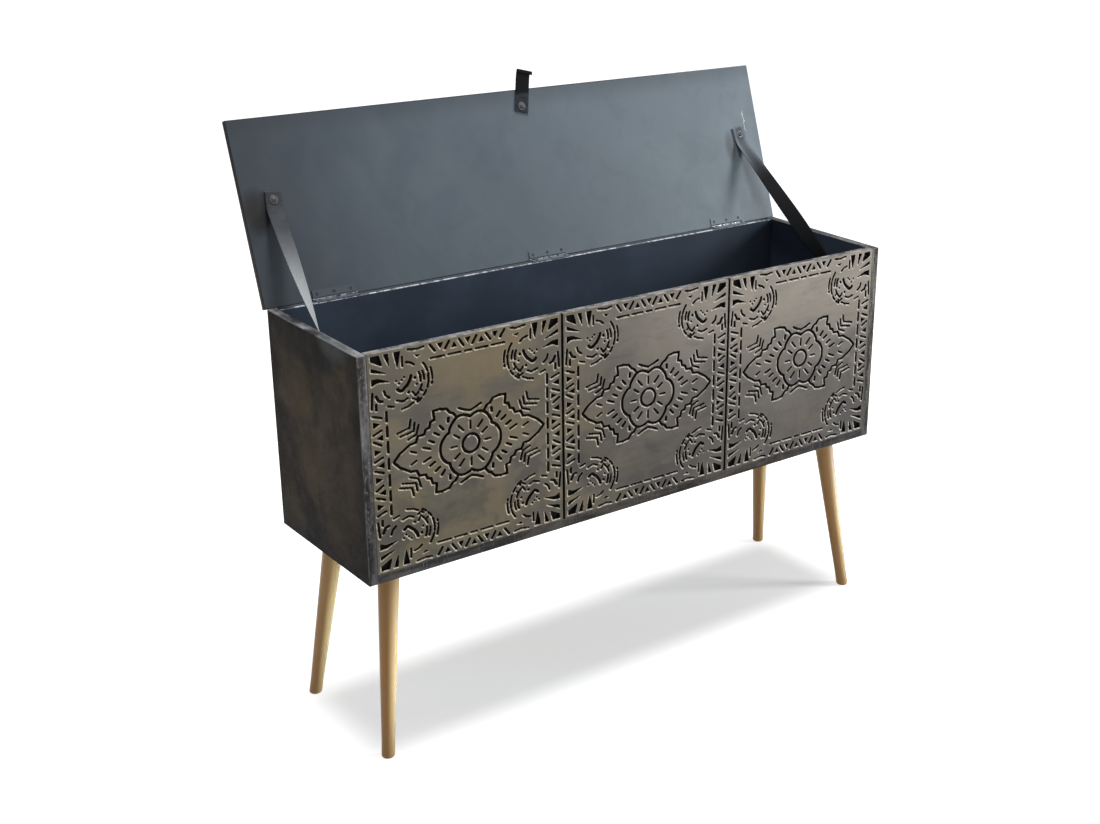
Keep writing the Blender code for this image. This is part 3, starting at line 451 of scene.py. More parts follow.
def left_side_shadow_and_patches(finish, y, z):
    """Coats for the left side: a painted shadow of the strap at its top, a pale patch beside it that is
    partly painted light and partly wear, and a darker lower front corner.
    """
    corner = finish.times(finish.ramp(z, 0.58, 0.37),
                          finish.ramp(y, FRONT_Y + 0.21, FRONT_Y + 0.04, 0, 0.72))
    off_front = finish.number("GREATER_THAN", y, FRONT_Y + 0.001)
    # At the top, the dark spot is the strap's painted shadow, and the pale one is partly painted light.
    dark, pale = (-0.55, FRONT_Y + 0.148, RIM_Z), (-0.55, FRONT_Y + 0.076, RIM_Z)
    return ((finish.spot(finish.place, dark, (0.022, 0.03, 0.012), 0.85), (0.016, 0.016, 0.018)),
            (finish.spot(finish.place, pale, (0.022, 0.062, 0.036), 0.55), (0.15, 0.16, 0.155)),
            (finish.times(corner, off_front), (0.0125, 0.0115, 0.0125)))


def board_paint(name):
    """Outer wax, inner navy and worn rim, told apart by place, with ragged wear along the edges."""
    finish = Finish(f"{name}_paint", shine=0.025)
    x, y, z = finish.axes(finish.place)
    edge = finish.arris(finish.place, *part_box(name))
    brushed, fine = finish.clouds(34, 4, twist=0.8), finish.clouds(260, 2)
    inside = finish.number("LESS_THAN", finish.number("ABSOLUTE", x), WALL_X + 0.0006)
    for side, limit, operation in ((y, FRONT_Y + INNER_FACE, "GREATER_THAN"),
                                   (y, BACK_Y - INNER_FACE, "LESS_THAN"), (z, FLOOR_TOP, "GREATER_THAN")):
        inside = finish.times(inside, finish.number(operation, side, limit))
    ragged = finish.number("SUBTRACT", edge, finish.times(finish.clouds(70, 4, 0.7), 0.0046))
    most = 0.40 if name in ("back_board", "bottom_board") else 0.85
    colour = finish.coats(
        outer_wax(finish, edge, brushed),
        (inside, inner_navy(finish, x)),
        (finish.ramp(y, FRONT_Y + 0.001, FRONT_Y + 0.0004), front_edge(finish, name, z)),
        (finish.ramp(z, RIM_Z - 0.0011, RIM_Z - 0.0004), top_edge(finish, name, y)),
        (finish.ramp(ragged, -0.002, -0.0008, most, 0), WORN_GREY),
        *(left_side_shadow_and_patches(finish, y, z) if name == "left_side" else ()))
    return finish.use(Base_Color=colour,
                      Roughness=finish.ramp(finish.number("ADD", brushed, fine), 0.7, 1.3, 0.42, 0.62),
                      Normal=finish.relief(fine, 0.00006, finish.relief(brushed, 0.00006)))


BOARDS = ("left_side", "right_side", "bottom_board", "back_board", "front_board")
for name in BOARDS:
    dress(name, board_paint(name))
print("painted:", ", ".join(BOARDS))

# %% [markdown]
# ## The lid
#
# The lid's underside, which faces us, is a slate paint brushed on thin, and its outside is waxed dark
# like the box. The solid stands open, so its own directions lean back: one runs from the hinges to the
# front edge and one square out of the board. Two dot products turn a place into those directions,
# and then the lid is a plain box again, whose edges wear like the others.

# %% The lid's paint
HINGE = np.array(frame["joints"][0]["pos_m"])
LEAN = math.radians(frame["joints"][0]["range_deg"][1] - 90.0)
LID_ALONG = np.array((0.0, math.sin(LEAN), math.cos(LEAN)))
LID_OUT = np.array((0.0, math.cos(LEAN), -math.sin(LEAN)))
LID_INSIDE, LID_END = 0.0022, 0.3048
LID_BOX = ((-0.5535, -0.0024, LID_INSIDE), (0.5535, LID_END, 0.0122))
SLATE_DARK = (0.07, 0.088, 0.11)
SLATE_LIGHT = (0.138, 0.177, 0.208)
# The colour of the straps' painted shadows on the lid.
STRAP_SHADOW = (0.02, 0.018, 0.018)


def lid_place(finish):
    """A point as (across, away from the hinges, out of the box), measured from the hinge line."""
    from_hinge = finish.vector("SUBTRACT", finish.place, tuple(HINGE))
    along, out = (finish.vector("DOT_PRODUCT", from_hinge, tuple(way)) for way in (LID_ALONG, LID_OUT))
    return finish.joined(finish.axes(finish.place)[0], along, out)


def scraped_line(finish, across, along):
    """A thin, wavering scratch along the right-hand end of the lid, near the strap's screw."""
    waver = finish.ramp(finish.clouds(60, 3), 0.2, 0.8, 0.516, 0.524)
    beside = finish.number("ABSOLUTE", finish.number("SUBTRACT", across, waver))
    beyond = finish.number("ABSOLUTE", finish.number("SUBTRACT", along, 0.196))
    return finish.times(finish.ramp(beside, 0.0013, 0.0004), finish.ramp(beyond, 0.024, 0.014, 0, 0.9))


def lid_paint():
    """Slate that lightens to the right on the underside and darkens at its left end, partly painted light
    and shade, with painted shadows of the straps; dark wax outside, and worn edges that turn pale to
    the right, partly painted light.
    """
    finish = Finish("lid_paint", shine=0.22)
    fine = finish.clouds(300, 2)
    place = finish.place = lid_place(finish)
    across, along, out = finish.axes(place)
    edge = finish.arris(place, *LID_BOX)
    lumps = finish.clouds(4.2, 3, 0.5)
    brushed = finish.clouds(9, 3, 0.5, stretch=(1.6, 1, 1), twist=0.4)
    blotches = finish.clouds(17, 4, twist=0.6)
    # Painted light in part: the slate lightens from left to right as if lit from the right, and its left end
    # is darkened.
    slate_and_light_sweep = finish.number("ADD", finish.ramp(across, -0.62, 0.62),
                          finish.ramp(lumps, 0.25, 0.75, -0.13, 0.13))
    slate = finish.coats(
        SLATE_DARK,
        (slate_and_light_sweep, SLATE_LIGHT),
        (finish.ramp(brushed, 0.3, 0.75, 0, 0.12), (0.215, 0.235, 0.25)),
        (finish.ramp(blotches, 0.46, 0.72, 0, 0.22), (0.06, 0.078, 0.092)),
        (finish.ramp(across, -0.3, -0.53, 0, 0.46), (0.026, 0.03, 0.036)),
        (finish.ramp(along, 0.262, 0.304, 0, 0.38), (0.036, 0.04, 0.048)),
        # Painted shadows of the straps, to the left of their ends on the lid.
        (finish.spot(place, (-0.532, 0.154, 0), (0.034, 0.046, 1), 0.92), STRAP_SHADOW),
        (finish.spot(place, (0.474, 0.15, 0), (0.016, 0.036, 1), 0.62), STRAP_SHADOW),
        (scraped_line(finish, across, along), (0.48, 0.5, 0.52)),
        (finish.times(finish.ramp(edge, 0.0026, 0.0012, 0, 0.75), finish.ramp(across, 0.5, 0.3)),
         (0.018, 0.019, 0.022)))
    wax = finish.coats(WAX_DARK, (finish.ramp(lumps, 0.3, 0.7), WAX_BRONZE),
                       (finish.ramp(brushed, 0.4, 0.8, 0, 0.35), (0.085, 0.074, 0.06)))
    # The worn edges turn pale to the right, partly painted light.
    rubbed = finish.coats((0.02, 0.022, 0.025), (finish.ramp(across, 0.1, 0.5), (0.26, 0.27, 0.28)))
    ragged = finish.number("SUBTRACT", edge, finish.times(finish.clouds(85, 4, 0.7), 0.0036))
    colour = finish.coats(slate, (finish.ramp(out, 0.003, 0.004), wax),
                          (finish.ramp(ragged, -0.0014, -0.0002, 0.85, 0), rubbed))
    return finish.use(Base_Color=colour, Roughness=finish.ramp(brushed, 0.3, 0.7, 0.42, 0.52),
                      Normal=finish.relief(fine, 0.00004),
                      Specular_IOR_Level=finish.ramp(out, 0.003, 0.004, 0.22, 0.03))


dress("lid_board", lid_paint())
print("lid leans back", round(math.degrees(LEAN), 1), "degrees")

# %% [markdown]
# ## The carved pattern, as lines and outlines
#
# Each panel carries the same design: a six-petalled flower between two long leaves, a quarter rosette
# and a fan in every corner, and a border of triangles. It is the same in all four quarters, so only
# the upper right one is drawn, in millimetres from the panel's middle.
# Fans and triangles are sawn right through. Everything else is a groove that follows a line.

# %% The upper right quarter of the design


def arc(middle, radius, start, stop, steps=10):
    """Points on a circle between two angles in degrees, counted from the right, anticlockwise."""
    angles = np.radians(np.linspace(start, stop, steps))
    return np.stack((middle[0] + radius * np.cos(angles), middle[1] + radius * np.sin(angles)), 1)


def flowing(points, steps=6):
    """A smooth line through the given points. Between two of them it is a cubic whose slopes at its
    ends are half the run from the point before to the point after."""
    points = np.asarray(points, float)
    padded = np.vstack((2 * points[0] - points[1], points, 2 * points[-1] - points[-2]))
    before, start, stop, after = padded[:-3], padded[1:-2], padded[2:-1], padded[3:]
    t = np.linspace(0.0, 1.0, steps, endpoint=False)[None, :, None]
    before, start, stop, after = (array[:, None, :] for array in (before, start, stop, after))
    curve = 0.5 * (2 * start + (stop - before) * t + (2 * before - 5 * start + 4 * stop - after) * t ** 2
                   + (3 * start - before - 3 * stop + after) * t ** 3)
    return np.vstack((curve.reshape(-1, 2), points[-1:]))


FAN = (
    ((118.7, 178), (131, 178), (130, 169.5), (127.2, 158.5), (125.9, 152), (124.9, 152),
     (122.6, 158.5), (120.4, 169.5)),
    ((139.6, 178), (148.4, 178), (145, 168.5), (139.6, 156.8), (138.2, 157.4), (139.4, 168)),
    ((155.4, 178), (170.6, 178), (170.6, 169.3), (152.2, 159.7), (150.4, 161.2)),
    ((170.6, 160), (170.6, 152.6), (158, 149.2), (144.6, 145.9), (144.2, 147.3), (157.5, 153.8)),
    ((170.6, 142), (170.6, 129.8), (160.5, 134), (150, 133.2), (139.4, 131.6), (139.2, 133),
     (149, 137.2), (158.5, 141.4)),
)
TRIANGLES = (
    ((-5.8, 178), (5.8, 178), (0, 167.8)),
    ((19, 165.4), (30.4, 165.4), (24.7, 175.8)),
    ((43.6, 178), (55.6, 178), (49.6, 167.8)),
    ((170.8, 62.4), (170.8, 73.4), (158.2, 67.9)),
    ((154.8, 39.8), (154.8, 50.8), (167.8, 45.3)),
    ((170.8, 17.4), (170.8, 28.6), (158.4, 22.9)),
    ((154.9, -5.5), (154.9, 5.5), (167.8, 0)),
    ((83.4, 165.8), (95.8, 167.4), (90.6, 162)),
)
ROSETTE = (113, 126)
FLOWER = flowing(((0, 45.2), (5.5, 48.2), (13, 50.6), (21, 50.2), (29, 45.6), (35.4, 37.8),
                  (39, 30.8), (39.8, 26.2), (45, 23.2), (51.2, 16.8), (55.4, 8), (56.2, 0)))
LEAF = ((26.4, 51.6), (30.8, 57.4), (36.6, 60), (42.8, 67.4), (54.4, 69.4), (66.8, 69), (65, 53.6),
        (72.4, 51.8), (74.6, 42.6), (81.4, 41), (84, 33.8), (95.4, 33), (99.6, 23.6), (110, 22.6),
        (118.6, 17.4), (128.6, 11.4), (138.2, 1.6), (138.8, 0))
DEEP = (
    (FLOWER, 4, 4.5), (arc((0, 0), 15.5, -6, 96, 16), 3.8, 4.5), (LEAF, 3.6, 4.5),
    (((0, 55.6), (10, 58.8), (20.4, 63.6)), 3.4, 4),
    (flowing(((102.5, 134.8), (104.2, 129.6), (109, 122.2), (115.6, 116.4), (120.4, 113.4),
              (126.4, 117.2))), 4.4, 4.5),
    (((55.6, 41.6), (49.4, 34.4)), 3.6, 4), (((66, 32.2), (58.2, 27.2)), 3.6, 4),
    (((75.6, 21.2), (67.2, 16.6)), 3.6, 4), (((86.4, 12), (74.4, 7.2)), 3.4, 4),
    (((108.6, 11), (99.4, 6.6)), 3, 3.5), (((40, 51.4), (40.4, 45.6)), 4.2, 4),
)
DASHES = {
    3.1: (((22.4, 34.6), (13.4, 24.6)), ((30.4, 20.2), (21.2, 13.4)), ((26.4, 0), (36.4, 0)),
          ((0, 25.4), (0, 37.6)), ((0, 155.8), (5.4, 155.8)), ((14, 155.8), (35.6, 155.8)),
          ((43.6, 155.8), (67, 155.8)), ((147.3, 0), (147.3, 8.6)), ((147.3, 18.6), (147.3, 36.4)),
          ((147.3, 45.4), (147.3, 61.6)), ((147.3, 70), (147.3, 85.6)), ((163.8, 91.6), (163.8, 100.6)),
          ((169.6, 119.4), (171.8, 94.4)), ((141, 107.2), (147.4, 112.4), (149.6, 119.4)),
          ((110, 99.8), (117.6, 96.2), (128.6, 99.6))),
    2.9: (((79, 177.2), (90, 175.4), (106, 177.6)), flowing(((96.6, 151.6), (102.4, 156), (110, 158.2))),
          ((91.2, 96.8), (95, 93.8), (101, 97.4)), ((100.4, 90.6), (109, 86.4), (120.4, 83.8)),
          ((134.6, 91), (144, 93.8)), arc(ROSETTE, 41, 209, 222), arc(ROSETTE, 41, 229, 241),
          arc(ROSETTE, 30, 197, 212), arc(ROSETTE, 30, 221, 236)),
    3: (((106.8, 63.8), (109.6, 50.3), (130.8, 45.8)), ((100, 57), (102.4, 43.5), (125.7, 39.4)),
        ((93.2, 52), (97.6, 37.4), (112, 31.6)), arc(ROSETTE, 41, 142, 164), arc(ROSETTE, 41, 170, 202),
        arc(ROSETTE, 47.5, 161, 184), arc(ROSETTE, 47.5, 190, 193), ((92.8, 119.8), (93.2, 119.4))),
    2.7: (((116.4, 153), (116.6, 168)), arc(ROSETTE, 33, 157, 182), ((118.6, 131.4), (119, 131)),
          ((123.4, 126.6), (123.8, 126.2)), ((114.4, 135.2), (114.8, 134.8)),
          ((128.2, 131.8), (128.6, 131.4)), ((101, 108.4), (97.6, 103.6)), ((88.4, 109.8), (83.8, 106.4))),
    3.4: (((8.2, 165.8), (15.6, 177.2)), ((33.6, 177.4), (41.2, 166.4)), ((59.4, 166.6), (67.4, 177.6)),
          ((156.4, 77.4), (171, 82.4)), ((157.8, 57.4), (171.4, 51.8)), ((159.4, 33.6), (171.2, 40.6)),
          ((157.6, 12.8), (171.2, 7.4))),
    4: (((153.4, 103.4), (159.4, 105.4), (163.4, 113.4)),),
    3.2: (arc(ROSETTE, 27, 154, 186),),
    4.2: (((95.6, 130.6), (95.8, 130)),),
    3.8: (((107.2, 109.2), (107.8, 108.8)),),
}
print("quarter:", len(FAN) + len(TRIANGLES), "pierced,", len(DEEP), "deep and",
      sum(map(len, DASHES.values())), "fine cuts")

# %% [markdown]
# ## From lines to a carved surface
#
# A chisel's work could be cut out of a solid with boolean tools, one groove at a time, but hundreds of
# crossing grooves make those slow and fragile. A height map is simpler: a fine grid over the panel,
# pushed back wherever it lies inside a cut. The signed distance to the nearest cut, less than nothing
# inside it, says where that is. Grid points that nearly touch a cut's edge slide onto it first, which
# turns the grid's staircase into clean walls.

# %% The height map
MM = 0.001
PANEL_LOW, PANEL_HIGH = np.array(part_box("carved_panel_centre"))
PANEL_SIZE = (PANEL_HIGH - PANEL_LOW) / MM
PIERCED, FINE = 6.3, 3.0
WALL_RUN = 1.5
COLUMNS, ROWS = 300, 310
CELL = PANEL_SIZE[0] / COLUMNS
SNAP_INSIDE, SNAP_OUTSIDE, SNAP_MOST = 0.30 * CELL, 0.62 * CELL, 0.6 * CELL


def run_distance(u, v, points):
    """Distance to the nearest of the straight runs through the points. On the run from A to B the
    nearest place is A plus a share of B - A, the share being (P - A).(B - A) / |B - A|^2, from 0 to 1."""
    nearest = np.full(u.shape, np.inf)
    for (au, av), (bu, bv) in zip(points[:-1], points[1:]):
        du, dv = bu - au, bv - av
        share = np.clip(((u - au) * du + (v - av) * dv) / (du * du + dv * dv), 0.0, 1.0)
        nearest = np.minimum(nearest, np.hypot(u - au - share * du, v - av - share * dv))
    return nearest


def outline_distance(u, v, outline):
    """Distance to a closed outline, negative inside it. A point is inside if a level line from it to
    the right crosses the outline an odd number of times."""
    closed = list(outline) + [outline[0]]
    inside = np.zeros(u.shape, bool)
    for (au, av), (bu, bv) in zip(closed[:-1], closed[1:]):
        if av != bv:
            inside ^= ((av > v) != (bv > v)) & (u < au + (v - av) / (bv - av) * (bu - au))
    return np.where(inside, -1.0, 1.0) * run_distance(u, v, closed)


def carved_quarter():
    """For the grid points of one quarter: their places once slid onto the cuts' edges, how deep they
    lie, how far outside a cut they are, and the direction away from that cut."""
    u, v = np.meshgrid(np.linspace(0.0, PANEL_SIZE[0] / 2, COLUMNS // 2 + 1),
                       np.linspace(0.0, PANEL_SIZE[2] / 2, ROWS // 2 + 1), indexing="ij")
    grooves = DEEP + tuple((points, width, FINE) for width, lines in DASHES.items() for points in lines)
    cuts = [(outline_distance(u, v, outline), PIERCED) for outline in FAN + TRIANGLES]
    cuts += [(run_distance(u, v, points) - (width + WALL_RUN) / 2, deep) for points, width, deep in grooves]
    nearest = np.min([distance for distance, _ in cuts], axis=0)
    depth = np.max([np.where(distance < 0.0, deep, 0.0) for distance, deep in cuts], axis=0)
    slopes = np.gradient(nearest, CELL)
    steep = np.maximum(np.hypot(*slopes), 0.5)
    snapped = (nearest > -SNAP_INSIDE) & (nearest < SNAP_OUTSIDE)
    move_u, move_v = (np.where(snapped, -nearest * slope / steep ** 2, 0.0).clip(-SNAP_MOST, SNAP_MOST)
                      for slope in slopes)
    move_u[[0, -1], :] = 0.0
    move_v[:, [0, -1]] = 0.0
    depth[snapped] = 0.0
    return (u + move_u, v + move_v, depth, np.where(snapped, 0.0, nearest),
            *(slope / steep for slope in slopes))


def whole_panel():
    """The quarter mirrored to the left and then downwards. Places and directions change sign."""
    arrays = []
    for array, sign_u, sign_v in zip(carved_quarter(), (-1, 1, 1, 1, -1, 1), (1, -1, 1, 1, 1, -1)):
        array = np.concatenate((sign_u * array[:0:-1], array), axis=0)
        arrays.append(np.concatenate((sign_v * array[:, :0:-1], array), axis=1))
    return arrays


panel_u, panel_v, panel_depth, panel_edge, away_u, away_v = whole_panel()
# The share of each lip that faces the lower left, where the painted highlight goes.
panel_lip = np.clip(-0.55 * away_u - 0.83 * away_v, 0.0, 1.0)
print("panel grid", panel_u.shape, "carved share", round(float((panel_depth > 0).mean()), 3))

# %% [markdown]
# ## Putting arrays into meshes
#
# Blender's meshes store points, corners and faces in long flat rows, and `foreach_set` fills a row in
# one go. A surface that comes from a grid needs a table of faces, which is the same for every grid:
# each point with its neighbours to the right, above and diagonally. Wrapping joins the last row to the
# first, as a tube needs.

# %% Mesh helpers


def grid_faces(rows, columns, wrap=False, loop=False):
    """The four-sided faces of a grid numbered row by row. With wrap the last column meets the first
    one, and with loop the last row meets the first."""
    numbers = np.arange(rows * columns).reshape(rows, columns)
    above = np.roll(numbers, -1, axis=0)
    faces = np.stack((numbers, np.roll(numbers, -1, axis=1), np.roll(above, -1, axis=1), above), axis=-1)
    return faces[:None if loop else -1, :None if wrap else -1].reshape(-1, 4)


def fan_faces(ring, middle, inward=False):
    """Triangles that close a ring of points to one in its middle."""
    after = np.roll(ring, -1)
    centre = np.full(len(ring), middle)
    return np.stack((ring, centre, after) if inward else (ring, after, centre), axis=1)


def closed_tube(rings, poles):
    """Points and faces of a tube from its rings of points, closed to a pole at either end. Seen from
    the first pole the rings run clockwise, if the faces are to look outwards."""
    rows, count = rings.shape[:2]
    last = rows * count
    caps = (fan_faces(np.arange(count), last, inward=True),
            fan_faces(np.arange(last - count, last), last + 1))
    return (np.concatenate((rings.reshape(-1, 3), poles)), grid_faces(rows, count, wrap=True),
            np.concatenate(caps))


def make_piece(name, points, *face_tables, material, sharp, marks=None):
    """An object at the origin from an array of points and tables of faces, one row for each face.
    `marks` are named numbers, or vectors, kept for every point so that a finish can read them."""
    mesh = bpy.data.meshes.new(name)
    points = np.asarray(points, np.float32).reshape(-1, 3)
    corners = np.concatenate([table.ravel() for table in face_tables])
    sizes = np.concatenate([np.full(len(table), table.shape[1]) for table in face_tables])
    mesh.vertices.add(len(points))
    mesh.vertices.foreach_set("co", points.ravel())
    mesh.loops.add(len(corners))
    mesh.loops.foreach_set("vertex_index", corners.astype(np.int32))
    mesh.polygons.add(len(sizes))
    mesh.polygons.foreach_set("loop_start", (np.cumsum(sizes) - sizes).astype(np.int32))
    mesh.update(calc_edges=True)
    for label, values in (marks or {}).items():
        values = np.asarray(values, np.float32)
        kind, field = ("FLOAT", "value") if values.ndim == 1 else ("FLOAT_VECTOR", "vector")
        mesh.attributes.new(label, kind, "POINT").data.foreach_set(field, values.ravel())
    mesh.shade_smooth()
    mesh.set_sharp_from_angle(angle=math.radians(sharp))
    mesh.materials.append(material)
    piece = bpy.data.objects.new(name, mesh)
    bpy.context.scene.collection.objects.link(piece)
    return piece


print("a 3 by 4 grid has", len(grid_faces(3, 4)), "faces")

# %% [markdown]
# ## The panels' patina
#
# The carved fronts are rubbed with bronze until the paint shines through like old brass. The colour
# drifts from warm gold to cold grey, with faint strokes left to right; the grey at the right and a
# paler top right are partly painted light. The cuts stay black, and their lower left lips carry a
# painted highlight, as if lit from the upper right. Numbers kept on the points drive that: how far a
# point is from a cut, and whether it lies on that side of it.

# %% The patina
SOOT = (0.004, 0.0036, 0.0034)


def bronze_face(finish, x, z, strokes):
    """The coats of the panels' flat face, from gold at the left to grey at the right, darker towards the
    bottom. The grey at the right and the paler top right are partly painted light.
    """
    ramp, times = finish.ramp, finish.times
    lumps, drift = finish.clouds(7.5, 4, twist=0.4), finish.clouds(2.3, 2, 0.5)
    patches = finish.clouds(11, 4, stretch=(0.9, 1, 1.25), twist=0.4)
    uneven = ramp(lumps, 0.34, 0.68)
    grey = finish.coats((0.092, 0.087, 0.081), (uneven, (0.164, 0.151, 0.136)))
    # Painted light in part: greyer to the right, and paler at the top right, as if lit from the right.
    rightward = finish.number("ADD", ramp(x, -0.28, 0.1), ramp(drift, 0.3, 0.7, -0.18, 0.18))
    return finish.coats(
        (0.119, 0.108, 0.082),
        (uneven, (0.185, 0.165, 0.124)),
        (rightward, grey),
        (times(ramp(x, -0.24, 0.3, 0.12), ramp(z, 0.45, 0.69)), (0.35, 0.318, 0.275)),
        (ramp(strokes, 0.4, 0.72, 0, 0.18), (0.235, 0.205, 0.16)),
        (ramp(strokes, 0.52, 0.28, 0, 0.22), (0.05, 0.047, 0.043)),
        (ramp(z, 0.5, 0.38, 0, 0.24), (0.045, 0.043, 0.041)),
        (times(ramp(patches, 0.5, 0.62), ramp(x, 0.02, -0.22, 0.12, 0.5)), (0.225, 0.178, 0.104)),
        (times(ramp(patches, 0.49, 0.36), ramp(z, 0.66, 0.48, 0.12, 0.55)), (0.058, 0.054, 0.06)),
        (finish.spot(finish.place, (-0.35, FRONT_Y, 0.672), (1 / 7, 9, 1 / 15), 0.38), (0.3, 0.225, 0.115)))


def carved_patina():
    """Cloudy bronze on the face, a painted highlight on the lower left lip of every cut and soot in the
    depth.
    """
    finish = Finish("carved_patina", metallic=0.25, shine=0.2)
    ramp, times = finish.ramp, finish.times
    x, y, z = finish.axes(finish.place)
    strokes = finish.clouds(9, 5, stretch=(1.6, 1, 9))
    fine = finish.clouds(330, 2, stretch=(0.5, 1, 1))
    streaks = finish.clouds(46, 4, 0.65, stretch=(1, 0.35, 1))
    # Painted highlight: the lower left lips are made cream, as if lit from the upper right, broken up by
    # noise, and on that side the wall stays bright further down before the soot.
    lit = times(ramp(finish.mark("lower_left_lip", "Fac"), 0.15, 0.75, 0.06),
                ramp(finish.clouds(110, 3), 0.32, 0.54, 0.12))
    bright = times(ramp(finish.mark("from_cut", "Fac"), 0.0021, 0.0008), lit)
    cream = finish.coats((0.78, 0.69, 0.52), (ramp(x, -0.4, 0.2), (0.74, 0.69, 0.61)))
    depth = finish.number("SUBTRACT", y, FRONT_Y)
    soot = ramp(finish.number("SUBTRACT", depth, times(lit, 0.0016)), 0, 0.0003)
    rim = finish.coats((0.13, 0.12, 0.105), (ramp(streaks, 0.36, 0.64), (0.36, 0.33, 0.29)))
    colour = finish.coats(bronze_face(finish, x, z, strokes), (bright, cream), (soot, SOOT),
                          (ramp(z, RIM_Z - 0.0009, RIM_Z - 0.0003), rim))
    gloss = ramp(finish.number("ADD", strokes, times(soot, 0.8)), 0.3, 1, 0.36, 0.8)
    return finish.use(Base_Color=colour, Roughness=gloss, Metallic=ramp(soot, 0, 1, 0.25, 0),
                      Normal=finish.relief(fine, 0.00004, finish.relief(strokes, 0.00014)))


patina = carved_patina()
print("patina nodes:", len(patina.node_tree.nodes))

# %% The three panels
FAR_FROM_CUTS = 0.009


def carved_panel(label):
    """A closed board: the height map in front, four narrow walls and a flat back. A grid point
    (u, v) of depth d stands at (middle + u, front + d, middle + v)."""
    low, high = np.array(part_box(f"carved_panel_{label}"))
    middle = (low + high) / 2
    front = np.stack((middle[0] + panel_u * MM, low[1] + panel_depth * MM, middle[2] + panel_v * MM), -1)
    wide, tall = panel_u.shape
    numbers = np.arange(wide * tall).reshape(wide, tall)
    rim = np.concatenate((numbers[:-1, 0], numbers[-1, :-1], numbers[:0:-1, -1], numbers[0, :0:-1]))
    back = front.reshape(-1, 3)[rim] * (1, 0, 1) + (0, high[1], 0)
    behind = wide * tall + np.arange(len(rim))
    sheet = grid_faces(wide, tall)[:, [0, 3, 2, 1]]
    walls = np.stack((rim, behind, np.roll(behind, -1), np.roll(rim, -1)), axis=1)
    closing = fan_faces(behind, wide * tall + len(rim), inward=True)
    points = np.concatenate((front.reshape(-1, 3), back, [(middle[0], high[1], middle[2])]))
    unseen = np.ones(len(rim) + 1)
    from_cut = np.concatenate((panel_edge.ravel() * MM, unseen)).clip(-FAR_FROM_CUTS, FAR_FROM_CUTS)
    lip = np.concatenate((panel_lip.ravel(), 0 * unseen))
    piece = make_piece(f"carved_front_{label}", points, sheet, walls, closing, material=patina, sharp=34.0,
                       marks={"from_cut": from_cut, "lower_left_lip": lip})
    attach(piece, "chest")
    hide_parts(f"carved_panel_{label}")
    return piece


panels = [carved_panel(label) for label in ("left", "centre", "right")]
print("panels:", [(panel.name, len(panel.data.polygons)) for panel in panels])

# %% [markdown]
# ## Beech legs
#
# The legs are turned from pale beech: a straight taper, a softened top edge and a rounded foot that
# was trimmed level, since the legs lean outwards. A turned shape is a profile carried round an axis.
# Towards the foot the rings tilt from square-to-the-leg to level, which the real foot's cut does too.

# %% The beech


def beech():
    """Pale wood with long grain, darker flecks and a thin satin varnish."""
    finish = Finish("leg_beech", shine=0.28)
    finish.shader.inputs["Coat Weight"].default_value = 0.20
    finish.shader.inputs["Coat Roughness"].default_value = 0.32
    finish.place = finish.mark("in_leg")
    grain = finish.clouds(70, 5, stretch=(1, 1, 0.05))
    broad = finish.clouds(22, 3, 0.5, stretch=(1, 1, 0.09))
    flecks = finish.clouds(520, 2, 0.5, stretch=(1, 1, 0.13))
    colour = finish.coats((0.385, 0.188, 0.055), (finish.ramp(broad, 0.3, 0.7), (0.49, 0.28, 0.098)),
                          (finish.ramp(grain, 0.45, 0.72, 0, 0.55), (0.3, 0.185, 0.09)),
                          (finish.ramp(flecks, 0.62, 0.74, 0, 0.45), (0.24, 0.145, 0.07)))
    return finish.use(Base_Color=colour, Roughness=finish.ramp(grain, 0.3, 0.7, 0.38, 0.5),
                      Normal=finish.relief(flecks, 0.00005, finish.relief(grain, 0.00012)))


leg_wood = beech()
print("beech ready")

# %% The four legs
LEG_TOP, LEG_FOOT, LEG_HEIGHT = 0.0180, 0.0112, 0.328
TAPER_LENGTH = 0.2930
BOSS, TOP_EDGE = 0.0093, 0.0014
BORE, BORE_DEEP = 0.0043, 0.0396
LEG_FROM_END, LEG_FROM_SIDE = 0.0663, 0.0596
SPLAY_X, SPLAY_Y = 0.0402, 0.0397
FOOT_HIGH, FOOT_ROUND = 0.0046, 0.0030
GRAIN_SHIFT = 1.7


def leg_profile():
    """(radius, distance down the axis) from the bore's end, over the top edge and down to the foot."""
    bend = np.linspace(0.0, math.pi / 2, 6)
    top_edge = np.stack((LEG_TOP + TOP_EDGE * (np.sin(bend) - 1), BOSS + TOP_EDGE * (1 - np.cos(bend))), 1)
    share = np.linspace(0.0, 1.0, 40)[1:]
    taper = np.stack((LEG_TOP + (LEG_FOOT - LEG_TOP) * share, BOSS + TOP_EDGE + TAPER_LENGTH * share), 1)
    return np.concatenate((((BORE, BORE_DEEP), (BORE, BOSS)), top_edge, taper))


def rings_round(middles, radii, across, aside, count):
    """A ring of points round each middle: middle + radius x (cos a x across + sin a x aside)."""
    angles = np.linspace(0.0, 2 * math.pi, count, endpoint=False)[:, None]
    circle = np.cos(angles) * across + np.sin(angles) * aside
    return middles[:, None] + radii[:, None, None] * circle


